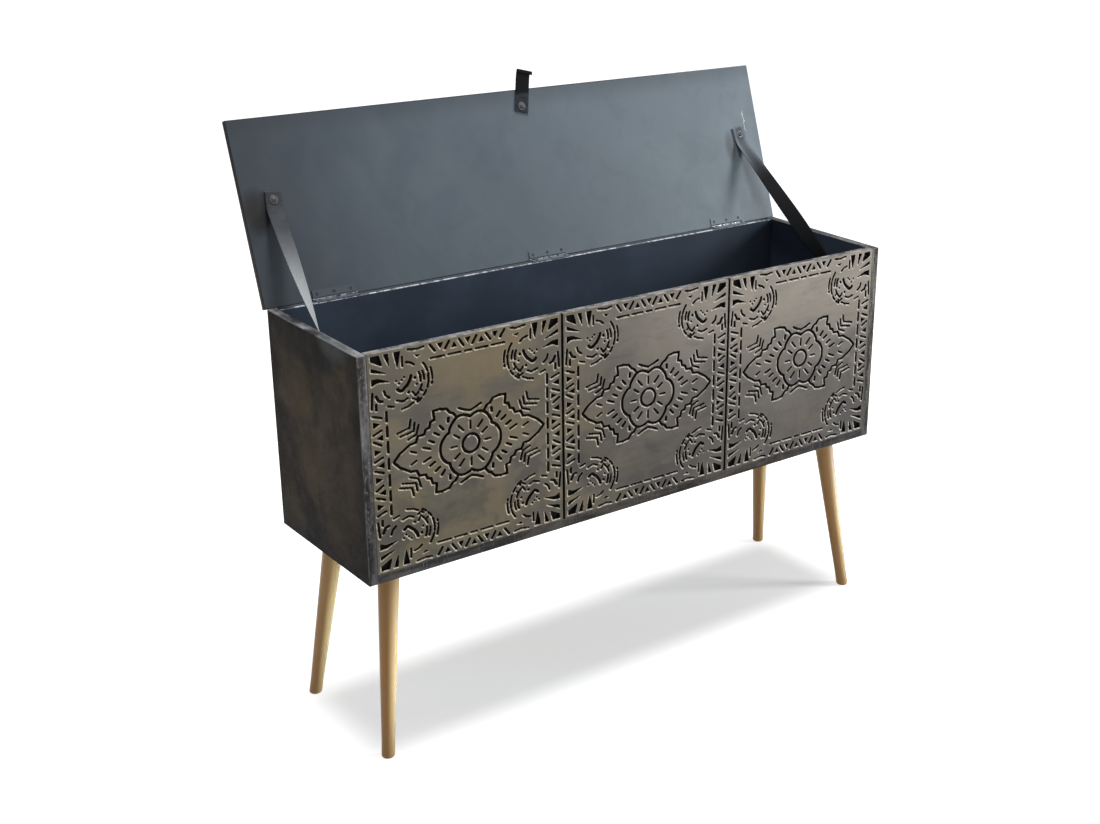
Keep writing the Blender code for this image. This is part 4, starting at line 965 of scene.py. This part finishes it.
def turned_leg(end, side):
    """Rings square to the leg's axis, then rings that are level, for the rounded foot."""
    sign_x, sign_y = (1 if side == "right" else -1), (1 if end == "rear" else -1)
    top = np.array((sign_x * (0.550 - LEG_FROM_END), MIDDLE_Y + sign_y * (BOX_DEPTH / 2 - LEG_FROM_SIDE),
                    LEG_HEIGHT))
    foot = top + np.array((sign_x * SPLAY_X, sign_y * SPLAY_Y, -LEG_HEIGHT))
    axis = unit(foot - top)
    across = unit(np.cross((0.0, 1.0, 0.0), axis))
    aside = np.cross(axis, across)
    radii, down = leg_profile().T
    rings = rings_round(top + axis * down[:, None], radii, across, aside, 56)
    bend = np.linspace(0.0, 1.0, 9)
    base = top + axis * ((LEG_HEIGHT - FOOT_HIGH * (1 - bend)) / -axis[2])[:, None]
    rounding = LEG_FOOT - FOOT_ROUND * (1 - np.sqrt(1 - (bend * 0.999) ** 2))
    level_across, level_aside = (way - axis * (way[2] / axis[2]) for way in (across, aside))
    rings = np.concatenate((rings, rings_round(base, rounding, level_across, level_aside, 56)))
    points, sides, caps = closed_tube(rings, (top + axis * BORE_DEEP, foot))
    local = points - top
    in_leg = np.stack((local @ across, local @ aside, local @ axis + (sign_x + 2 * sign_y) * GRAIN_SHIFT), 1)
    piece = make_piece(f"turned_leg_{end}_{side}", points, sides, caps, material=leg_wood, sharp=50.0,
                       marks={"in_leg": in_leg})
    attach(piece, "chest")
    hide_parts(f"leg_{end}_{side}")
    return piece


legs = [turned_leg(end, side) for end in ("front", "rear") for side in ("left", "right")]
print("legs:", [leg.name for leg in legs])

# %% [markdown]
# ## The straps
#
# Each strap is flat webbing, doubled under at both ends where a screw holds it. It lies on the lid,
# runs down tight to the side wall and turns a quarter on the way, slowly at first.
# A cloth simulation would only find this tight line again, so it is worked out: a middle line, and at
# each station the direction that the strap's back faces. The cross section is carried along the two.

# %% The webbing's finish
RIB_STEP, WEFT_STEP = 0.0017, 0.0021


def webbing():
    """Grey yarns over and under each other: a chequer of tiny humps, paler on top with painted shade
    between them. Towards the wall the left strap turns pale, partly painted light, and the right one
    near black, painted shade; the right strap's lid end carries dust with a painted sheen.
    """
    finish = Finish("strap_webbing", roughness=0.78, shine=0.1)
    ramp, times = finish.ramp, finish.times
    finish.place = finish.mark("on_cloth")
    across, along, side = finish.axes(finish.place)
    ribs, wefts = (finish.number("SINE", times(way, 2 * math.pi / step))
                   for way, step in ((across, RIB_STEP), (along, WEFT_STEP)))
    humps = finish.number("MULTIPLY_ADD", times(ribs, wefts), 0.5, 0.5)
    fuzz, wear = finish.clouds(900, 2), finish.clouds(34, 3)
    on_left, on_right = ramp(side, 0.5, -0.5), ramp(side, -0.5, 0.5)
    faded_and_lit = finish.coats((0.19, 0.206, 0.22), (humps, (0.64, 0.675, 0.695)))
    shaded_black = finish.coats((0.004, 0.004, 0.005), (humps, (0.01, 0.011, 0.012)))
    # Dust on the right strap's lid end, with a painted sheen in it.
    dust_and_sheen = times(times(on_right, ramp(along, 0.15, 0.045, 0, 0.75)),
                 ramp(finish.number("ABSOLUTE", across), 0.004, 0.0115, 0.35))
    colour = finish.coats(
        (0.02, 0.022, 0.025),
        (humps, (0.085, 0.092, 0.1)),
        (ramp(fuzz, 0.45, 0.75, 0, 0.4), (0.2, 0.21, 0.22)),
        (ramp(wear, 0.42, 0.7, 0, 0.4), (0.024, 0.025, 0.028)),
        # Partly painted light: the left strap, as if lit from the right, grows pale towards the wall; painted
        # shade: the right one turns near black.
        (times(on_left, ramp(along, 0.08, 0.27)), faded_and_lit),
        (times(on_right, ramp(along, 0.05, 0.15)), shaded_black),
        (dust_and_sheen, (0.19, 0.235, 0.275)))
    return finish.use(Base_Color=colour, Normal=finish.relief(humps, 0.00022, finish.relief(fuzz, 0.00008)))


strap_cloth = webbing()
print("webbing ready")

# %% The line of a strap
STRAP_WIDE, STRAP_THICK, FOLD_GAP = 0.028, 0.0016, 0.0005
LAYER_STEP = STRAP_THICK + FOLD_GAP
SCREW_X, SCREW_ALONG = 0.500, 0.170
WALL_SCREW_Y, WALL_SCREW_DOWN = FRONT_Y + 0.1135, 0.060
SEAT_GAP = 0.0003
END_PAST_SCREW, BEND_FROM_SCREW, BEND_RUN = 0.0125, 0.016, 0.010
RUN_STEPS, BEND_STEPS, FOLD_STEPS = 60, 10, 8


def lid_point(x, along, out):
    """The place on the open lid at x, so far from the hinge line and so far out of the board."""
    return HINGE + np.array((x, 0.0, 0.0)) + along * LID_ALONG + out * LID_OUT


def walked(line):
    """How far along a line each of its points is."""
    return np.concatenate(([0.0], np.cumsum(np.linalg.norm(np.diff(line, axis=0), axis=1))))


def rounded_line(points, bend):
    """Straight runs joined by corners that are quadratic curves over `bend` of both their sides."""
    run, turn = (np.linspace(0.0, 1.0, steps + 1)[1:, None] for steps in (RUN_STEPS, BEND_STEPS))
    here, parts = points[0], [points[0][None]]
    for before, corner, after in zip(points, points[1:], points[2:]):
        start, stop = corner + unit(before - corner) * bend, corner + unit(after - corner) * bend
        parts.append(here + (start - here) * run)
        parts.append(start * (1 - turn) ** 2 + corner * 2 * turn * (1 - turn) + stop * turn ** 2)
        here = stop
    return np.concatenate((*parts, here + (points[-1] - here) * run))


def strap_line(side):
    """Middle points of the outer layer, its direction, where the strap's back faces, and its ends. The
    quarter turn takes the run between the two bends, and the share of it turned grows as a power."""
    wall_out = np.array((side, 0.0, 0.0))
    rise = SEAT_GAP + STRAP_THICK / 2 + LAYER_STEP
    on_lid = lid_point(side * SCREW_X, SCREW_ALONG, LID_INSIDE) - LID_OUT * rise
    on_wall = np.array((side * WALL_X, WALL_SCREW_Y, RIM_Z - WALL_SCREW_DOWN)) - wall_out * rise
    span = on_wall - on_lid
    down_lid = unit(span - LID_OUT * (span @ LID_OUT))
    up_wall = unit(-span + wall_out * (span @ wall_out))
    ends = [on_lid - down_lid * END_PAST_SCREW, on_lid + down_lid * BEND_FROM_SCREW,
            on_wall + up_wall * BEND_FROM_SCREW, on_wall - up_wall * END_PAST_SCREW]
    line = rounded_line(ends, BEND_RUN)
    along, far = unit(np.gradient(line, axis=0)), walked(line)
    first, last = far[RUN_STEPS + BEND_STEPS], far[2 * RUN_STEPS + BEND_STEPS]
    share = np.clip((far - first) / (last - first), 0.0, 1.0)[:, None] ** 1.6
    lid_back = unit(LID_OUT - along * (along @ LID_OUT)[:, None])
    wall_back = unit(wall_out - along * (along @ wall_out)[:, None])
    between = np.sum(lid_back * wall_back, axis=1, keepdims=True)
    aside = unit(wall_back - lid_back * between)
    angle = share * np.arccos(np.clip(between, -1.0, 1.0))
    return line, along, lid_back * np.cos(angle) + aside * np.sin(angle), ends


def folded_end(point, tail, back, under):
    """A half circle from the layer on the board round to the outer layer, with the layer itself."""
    angles = np.linspace(math.pi, 0.0, FOLD_STEPS + 1)[:, None]
    inward = back * np.cos(angles) - tail * np.sin(angles)
    fold = point + (back - inward) * LAYER_STEP / 2
    layer = point + back * LAYER_STEP - tail * under * np.linspace(1.0, 0.0, FOLD_STEPS + 1)[:-1, None]
    return np.concatenate((layer, fold)), np.concatenate((np.repeat(-back[None], FOLD_STEPS, 0), inward))


print("left strap's outer layer is", round(float(walked(strap_line(-1)[0])[-1]), 4), "m long")

# %% The straps themselves
UNDER_LAYER = 0.0245
BEAD_FROM, BEAD_RUN, BEAD_RISE = 0.0105, 0.0015, 0.10


def flat_oval(half, thick, edge, bends, flats, bead=0.0):
    """The section of a strip, as (across, thick) pairs round it: two rounded edges, and two faces that
    a bead raises by its share next to them."""
    turn = np.linspace(-math.pi / 2, math.pi / 2, bends)
    side = np.stack((half - edge * (1 - np.cos(turn)), thick * np.sin(turn)), 1)
    flat = np.linspace(half - thick, thick - half, flats)[1:-1]
    raised = 1.0 + bead * np.clip((np.abs(flat) - BEAD_FROM) / BEAD_RUN, 0.0, 1.0)
    top = np.stack((flat, thick * raised), 1)
    return np.concatenate((side, top, -side, -top))


def webbing_strap(side, label):
    """At each station the section's point (a, b) stands at middle + a x wide + b x back. The section
    runs anticlockwise from the lid's end, so the faces are turned round to look outwards."""
    line, along, back, ends = strap_line(side)
    wall_out = np.array((side, 0.0, 0.0))
    first_tail, last_tail = -along[0], along[-1]
    lid_end, lid_back = folded_end(line[0], first_tail, LID_OUT, UNDER_LAYER)
    wall_end, wall_back = folded_end(line[-1], last_tail, wall_out, UNDER_LAYER)
    wide = np.concatenate((np.repeat(np.cross(LID_OUT, first_tail)[None], len(lid_end), 0),
                           unit(np.cross(along[1:-1], back[1:-1])),
                           np.repeat(np.cross(last_tail, wall_out)[None], len(wall_end), 0)))
    centre = np.concatenate((lid_end, line[1:-1], wall_end[::-1]))
    facing = np.concatenate((lid_back, back[1:-1], wall_back[::-1]))
    section = flat_oval(STRAP_WIDE / 2, STRAP_THICK / 2, STRAP_THICK / 2, 7, 16, BEAD_RISE)
    rings = centre[:, None] + section[:, :1] * wide[:, None] + section[:, 1:] * facing[:, None]
    points, sides, caps = closed_tube(rings, centre[[0, -1]])
    far = walked(centre)
    cloth = np.stack(np.broadcast_arrays(section[:, 0], far[:, None], np.float64(side)), -1)
    cloth = np.concatenate((cloth.reshape(-1, 3), [[0.0, 0.0, side], [0.0, far[-1], side]]))
    piece = make_piece(f"webbing_{label}", points, sides[:, [0, 3, 2, 1]], caps[:, ::-1],
                       material=strap_cloth, sharp=60.0, marks={"on_cloth": cloth})
    tuple(ends[1])
    tuple(ends[2])
    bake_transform(piece)
    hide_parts(f"strap_{label}")
    return piece, far[-1]


for side, label in ((-1, "left"), (1, "right")):
    strap, length = webbing_strap(side, label)
    print(strap.name, "is", round(length, 4), "m long with its folded ends")

# %% [markdown]
# ## The leather tab
#
# The tab that lifts the lid is a strip of black leather, held by one screw under the lid's edge and
# folded over at its free end into a hem. Seen from the front the hem's corner sticks out a little.
# It is a flat oval section carried along a line that ends in a half turn, like the straps' folds.

# %% The tab's leather


def leather():
    """Black hide: small pebbles from a cell pattern, creases between them and rubbed high spots."""
    finish = Finish("tab_leather", roughness=0.55, shine=0.06)
    cells = add_node(finish.tree, "TexVoronoi", {"Vector": finish.place, "Scale": 900}).outputs["Distance"]
    creases = finish.clouds(120, 4, 0.65)
    along = finish.axes(lid_place(finish))[1]
    rubbed = finish.times(finish.ramp(along, 0.3, 0.292), finish.ramp(creases, 0.3, 0.6, 0.35, 0.85))
    colour = finish.coats((0.0025, 0.0025, 0.003), (finish.ramp(creases, 0.4, 0.75), (0.008, 0.008, 0.01)),
                          (finish.ramp(cells, 0.5, 0.1, 0, 0.3), (0.018, 0.018, 0.022)),
                          (rubbed, (0.04, 0.046, 0.058)))
    return finish.use(Base_Color=colour, Roughness=finish.ramp(creases, 0.3, 0.7, 0.42, 0.66),
                      Normal=finish.relief(cells, 0.00012, finish.relief(creases, 0.0003)))


TAB_HALF, TAB_THICK, TAB_FOLD = 0.014, 0.0010, 0.00125
TAB_X, TAB_FROM_EDGE, TAB_SKEW = 0.006, 0.031, math.radians(15.0)
TAIL_START, FOLD_AT, HEM_END = -0.0105, 0.064, 0.0595
LIFT_FROM, LIFT_RUN, LIFT_MOST = 0.034, 0.030, 0.0012
HEM_WIDER, HEM_SHIFT = 0.16, 0.0016
STRAIGHT, HEM = 34, 6


def pull_tab():
    """Stations run from the tail, past the lid's edge, round the hem's half turn and back. The hem is
    a little wider on one side than the strip, and it is shifted to the other."""
    screw = lid_point(TAB_X, LID_END - TAB_FROM_EDGE, LID_INSIDE)
    reach = math.cos(TAB_SKEW) * LID_ALONG + np.array((math.sin(TAB_SKEW), 0.0, 0.0))
    wide, out = np.cross(reach, LID_OUT), -LID_OUT
    straight = np.linspace(TAIL_START, FOLD_AT, STRAIGHT)
    lift = SEAT_GAP + TAB_THICK + LIFT_MOST * np.clip((straight - LIFT_FROM) / LIFT_RUN, 0.0, 1.0) ** 2
    turn = np.linspace(0.0, math.pi, 9)[1:-1]
    down = np.concatenate((straight, FOLD_AT + TAB_FOLD * np.sin(turn), np.linspace(FOLD_AT, HEM_END, HEM)))
    lift = np.concatenate((lift, lift[-1] + TAB_FOLD * (1 - np.cos(turn)),
                           np.full(HEM, lift[-1] + 2 * TAB_FOLD)))
    facing = np.concatenate((np.zeros(STRAIGHT), turn, np.full(HEM, math.pi)))[:, None]
    hem = np.clip((np.arange(len(down)) - STRAIGHT + 4) / 8.0, 0.0, 1.0)[:, None]
    centre = screw + down[:, None] * reach + lift[:, None] * out - HEM_SHIFT * hem * wide
    normal = np.cos(facing) * out - np.sin(facing) * reach
    section = flat_oval(TAB_HALF, TAB_THICK, 0.6 * TAB_THICK, 5, 12)
    width = (1.0 + HEM_WIDER * hem * (section[:, 0] < 0))[..., None]
    rings = centre[:, None] + section[:, :1] * width * wide + section[:, 1:] * normal[:, None]
    piece = make_piece("leather_tab", *closed_tube(rings, centre[[0, -1]]), material=leather(), sharp=55.0)
    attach(piece, "lid")
    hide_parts("pull_tab")
    return piece


tab = pull_tab()
print("tab:", [round(value, 4) for value in tab.dimensions])

# %% [markdown]
# ## Steel: hinges, pins, screws, washers and plates
#
# The hinges were painted over with the lid, and the paint has worn off the knuckles, which shine.
# The screws are small dark domes with a crossed slot. A dome is a height over a disc, and the slot is
# taken off where the point lies near one of two crossing lines, so one formula gives the whole head.

# %% The steels


def painted_steel():
    """Slate paint that lightens to the right like the lid's, partly painted light, near black round the
    knuckles, and rubbed off near the hinge line down to bright steel.
    """
    finish = Finish("hinge_steel", shine=0.25)
    ramp, times = finish.ramp, finish.times
    across, along, out = finish.axes(lid_place(finish))
    around = finish.vector("LENGTH", finish.joined(0, along, out))
    chips = finish.clouds(240, 3)
    bare = times(times(ramp(around, 0.003, 0.0022), ramp(chips, 0.42, 0.55)), ramp(along, 0.0008, -0.0004))
    # Painted light in part: the slate lightens from left to right, as on the lid.
    colour = finish.coats(SLATE_DARK, (ramp(across, -0.62, 0.62), SLATE_LIGHT),
                          (ramp(around, 0.0034, 0.0024, 0, 0.8), (0.01, 0.011, 0.014)),
                          (bare, (0.6, 0.61, 0.63)))
    return finish.use(Base_Color=colour, Roughness=ramp(bare, 0, 1, 0.45, 0.24),
                      Metallic=ramp(bare, 0, 1, 0, 0.9), Normal=finish.relief(chips, 0.00006))


def plain_finish(name, colour, roughness, metallic):
    """Steel, or a dowel's bare wood, with faint turning marks and finger grease."""
    finish = Finish(name, metallic=metallic)
    grease = finish.clouds(160, 3)
    return finish.use(Base_Color=finish.coats(colour, (finish.ramp(grease, 0.35, 0.7), scaled(colour, 0.55))),
                      Roughness=finish.ramp(grease, 0.3, 0.7, roughness - 0.08, roughness + 0.12),
                      Normal=finish.relief(finish.clouds(1500, 2, 0.5), 0.00002))


hinge_finish = painted_steel()
pin_finish = plain_finish("pin_steel", (0.62, 0.62, 0.62), 0.30, 0.95)
screw_finish = plain_finish("screw_steel", (0.085, 0.092, 0.102), 0.50, 0.35)
plate_finish = plain_finish("plate_steel", (0.04, 0.04, 0.044), 0.46, 0.60)
black_finish = plain_finish("black_screw", (0.016, 0.017, 0.02), 0.50, 0.0)
dowel_finish = plain_finish("dowel_wood", (0.52, 0.38, 0.24), 0.70, 0.0)
FINISHES = {"hinge_": hinge_finish, "leg_plate": plate_finish, "leg_bolt": screw_finish,
            "dowel_": dowel_finish}
for name in nodes:
    for start, material in FINISHES.items():
        if name.startswith(start):
            dress(name, pin_finish if name.endswith("_pin") else material)
print("steel on", sum(name.startswith(("hinge_", "leg_")) for name in nodes), "solids")

# %% The screw heads and washers
SLOT_HALF, SLOT_REACH = 0.13, 0.62
WASHER_HOLE, WASHER_RADIUS, WASHER_THICK = 0.0019, 0.0075, 0.0008
NO_TRIANGLES = np.zeros((0, 3), int)


def frame_of(axis):
    """Two unit directions square to an axis and to each other."""
    across = unit(np.cross(axis, (0.31, 0.87, 0.38)))
    return across, np.cross(axis, across)


def crossed_screw(place, axis, head, shank, slot, count=28):
    """A low dome (radius, rise) on a shank (radius, length), spun round an axis. The slot lowers the
    points of the dome that lie near one of two crossing lines. The profile runs down, against the
    axis, so the faces are turned round to look outwards."""
    (radius, rise), (neck, length) = head, shank
    bend = np.linspace(0.04, math.pi / 2, 12)
    profile = np.concatenate((np.stack((radius * np.sin(bend), rise * np.cos(bend)), 1),
                              [[radius * 0.98, -0.0001], [neck, -0.0001],
                               [neck, -length], [neck * 0.4, -length - 0.001]]))
    across, aside = frame_of(axis)
    rings = rings_round(place + profile[:, 1:] * axis, profile[:, 0], across, aside, count)
    flat_a, flat_b = (rings - place) @ across, (rings - place) @ aside
    near = np.minimum(np.abs(flat_a), np.abs(flat_b)) < SLOT_HALF * radius
    within = (np.hypot(flat_a, flat_b) < SLOT_REACH * radius) & (profile[:, 1:] > 0.0)
    rings = rings - slot * (near & within)[..., None] * axis
    poles = place + np.outer((profile[0, 1] - slot, profile[-1, 1]), axis)
    points, sides, caps = closed_tube(rings, poles)
    return points, sides[:, ::-1], caps[:, ::-1]


def washer(place, axis):
    """The outline of half a washer, from the hole's lower edge round to its upper edge, spun round."""
    corner = WASHER_THICK * 0.6
    outline = np.array(((WASHER_HOLE, 0.0), (WASHER_RADIUS, 0.0), (WASHER_RADIUS, corner),
                        (WASHER_RADIUS - WASHER_THICK / 2, WASHER_THICK), (WASHER_HOLE, WASHER_THICK)))
    rings = rings_round(place + outline[:, 1:] * axis, outline[:, 0], *frame_of(axis), 48)
    return rings.reshape(-1, 3), grid_faces(*rings.shape[:2], wrap=True, loop=True), NO_TRIANGLES


def gathered(name, parts, material, body, slot_name, *replaced):
    """Several closed shapes as one piece that rides on one body."""
    starts = np.cumsum([0] + [len(points) for points, _, _ in parts])
    points = np.concatenate([part[0] for part in parts])
    quads, triangles = (np.concatenate([part[kind] + start for part, start in zip(parts, starts)])
                        for kind in (1, 2))
    piece = make_piece(name, points, quads, triangles, material=material, sharp=38.0)
    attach(piece, body)
    if replaced:
        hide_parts(*replaced)
    return piece


def strap_fixings():
    """A washer and a crossed screw over every solid screw of the straps and the tab."""
    made = []
    for owner in ("strap_left_lid", "strap_right_lid", "strap_left_wall", "strap_right_wall", "pull_tab"):
        middle = np.mean(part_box(f"{owner}_washer"), axis=0)
        on_wall = owner.endswith("wall")
        axis = np.array((-np.sign(middle[0]), 0.0, 0.0)) if on_wall else -LID_OUT
        body = "chest" if on_wall else "lid"
        seat = middle - axis * WASHER_THICK / 2
        screw = crossed_screw(seat + axis * 0.0011, axis, (0.0042, 0.0022), (0.0016, 0.0105), 0.0007, 40)
        made.append(gathered(f"{owner}_ring", [washer(seat, axis)], screw_finish, body, "screw_steel",
                             f"{owner}_washer"))
        made.append(gathered(f"{owner}_crosshead", [screw], screw_finish, body, "screw_steel",
                             f"{owner}_screw"))
    return made


def hinge_screws():
    """Three heads in every hinge leaf, sunk so far that two leaves can still close face to face."""
    made = []
    for label, x in (("left", -0.428), ("centre", 0.0), ("right", 0.428)):
        for leaf, body, along, out in (("lid", "lid", LID_ALONG, -LID_OUT),
                                       ("rim", "chest", np.array((0.0, -1.0, 0.0)), np.array(UP))):
            middle = HINGE + np.array((x, 0.0, 0.0)) + 0.0085 * along - 0.0004 * out
            heads = [crossed_screw(middle + np.array((shift, 0.0, 0.0)), out, (0.0030, 0.0003),
                                   (0.0013, 0.0015), 0.00025) for shift in (-0.031, 0.0, 0.031)]
            made.append(gathered(f"hinge_{label}_{leaf}_screws", heads, black_finish, body, "screw_steel"))
    return made


def plate_screws():
    """Four heads under every leg plate."""
    made = []
    for end in ("front", "rear"):
        for side in ("left", "right"):
            low, high = np.array(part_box(f"leg_plate_{end}_{side}"))
            seats = [np.array((x, y, high[2] - 0.0026)) for x in (low[0] + 0.0085, high[0] - 0.0085)
                     for y in (low[1] + 0.0085, high[1] - 0.0085)]
            heads = [crossed_screw(seat, -np.array(UP), (0.0036, 0.0015), (0.0019, 0.0018), 0.0006)
                     for seat in seats]
            made.append(gathered(f"plate_screws_{end}_{side}", heads, screw_finish, "chest", "screw_steel"))
    return made


small_pieces = strap_fixings() + hinge_screws() + plate_screws()
print("small pieces:", len(small_pieces))

# %% [markdown]
# ## Last: bringing the scene up to date
#
# The dressed chest must be the size of the solid one.

# %% Bring the scene up to date
bpy.context.view_layer.update()
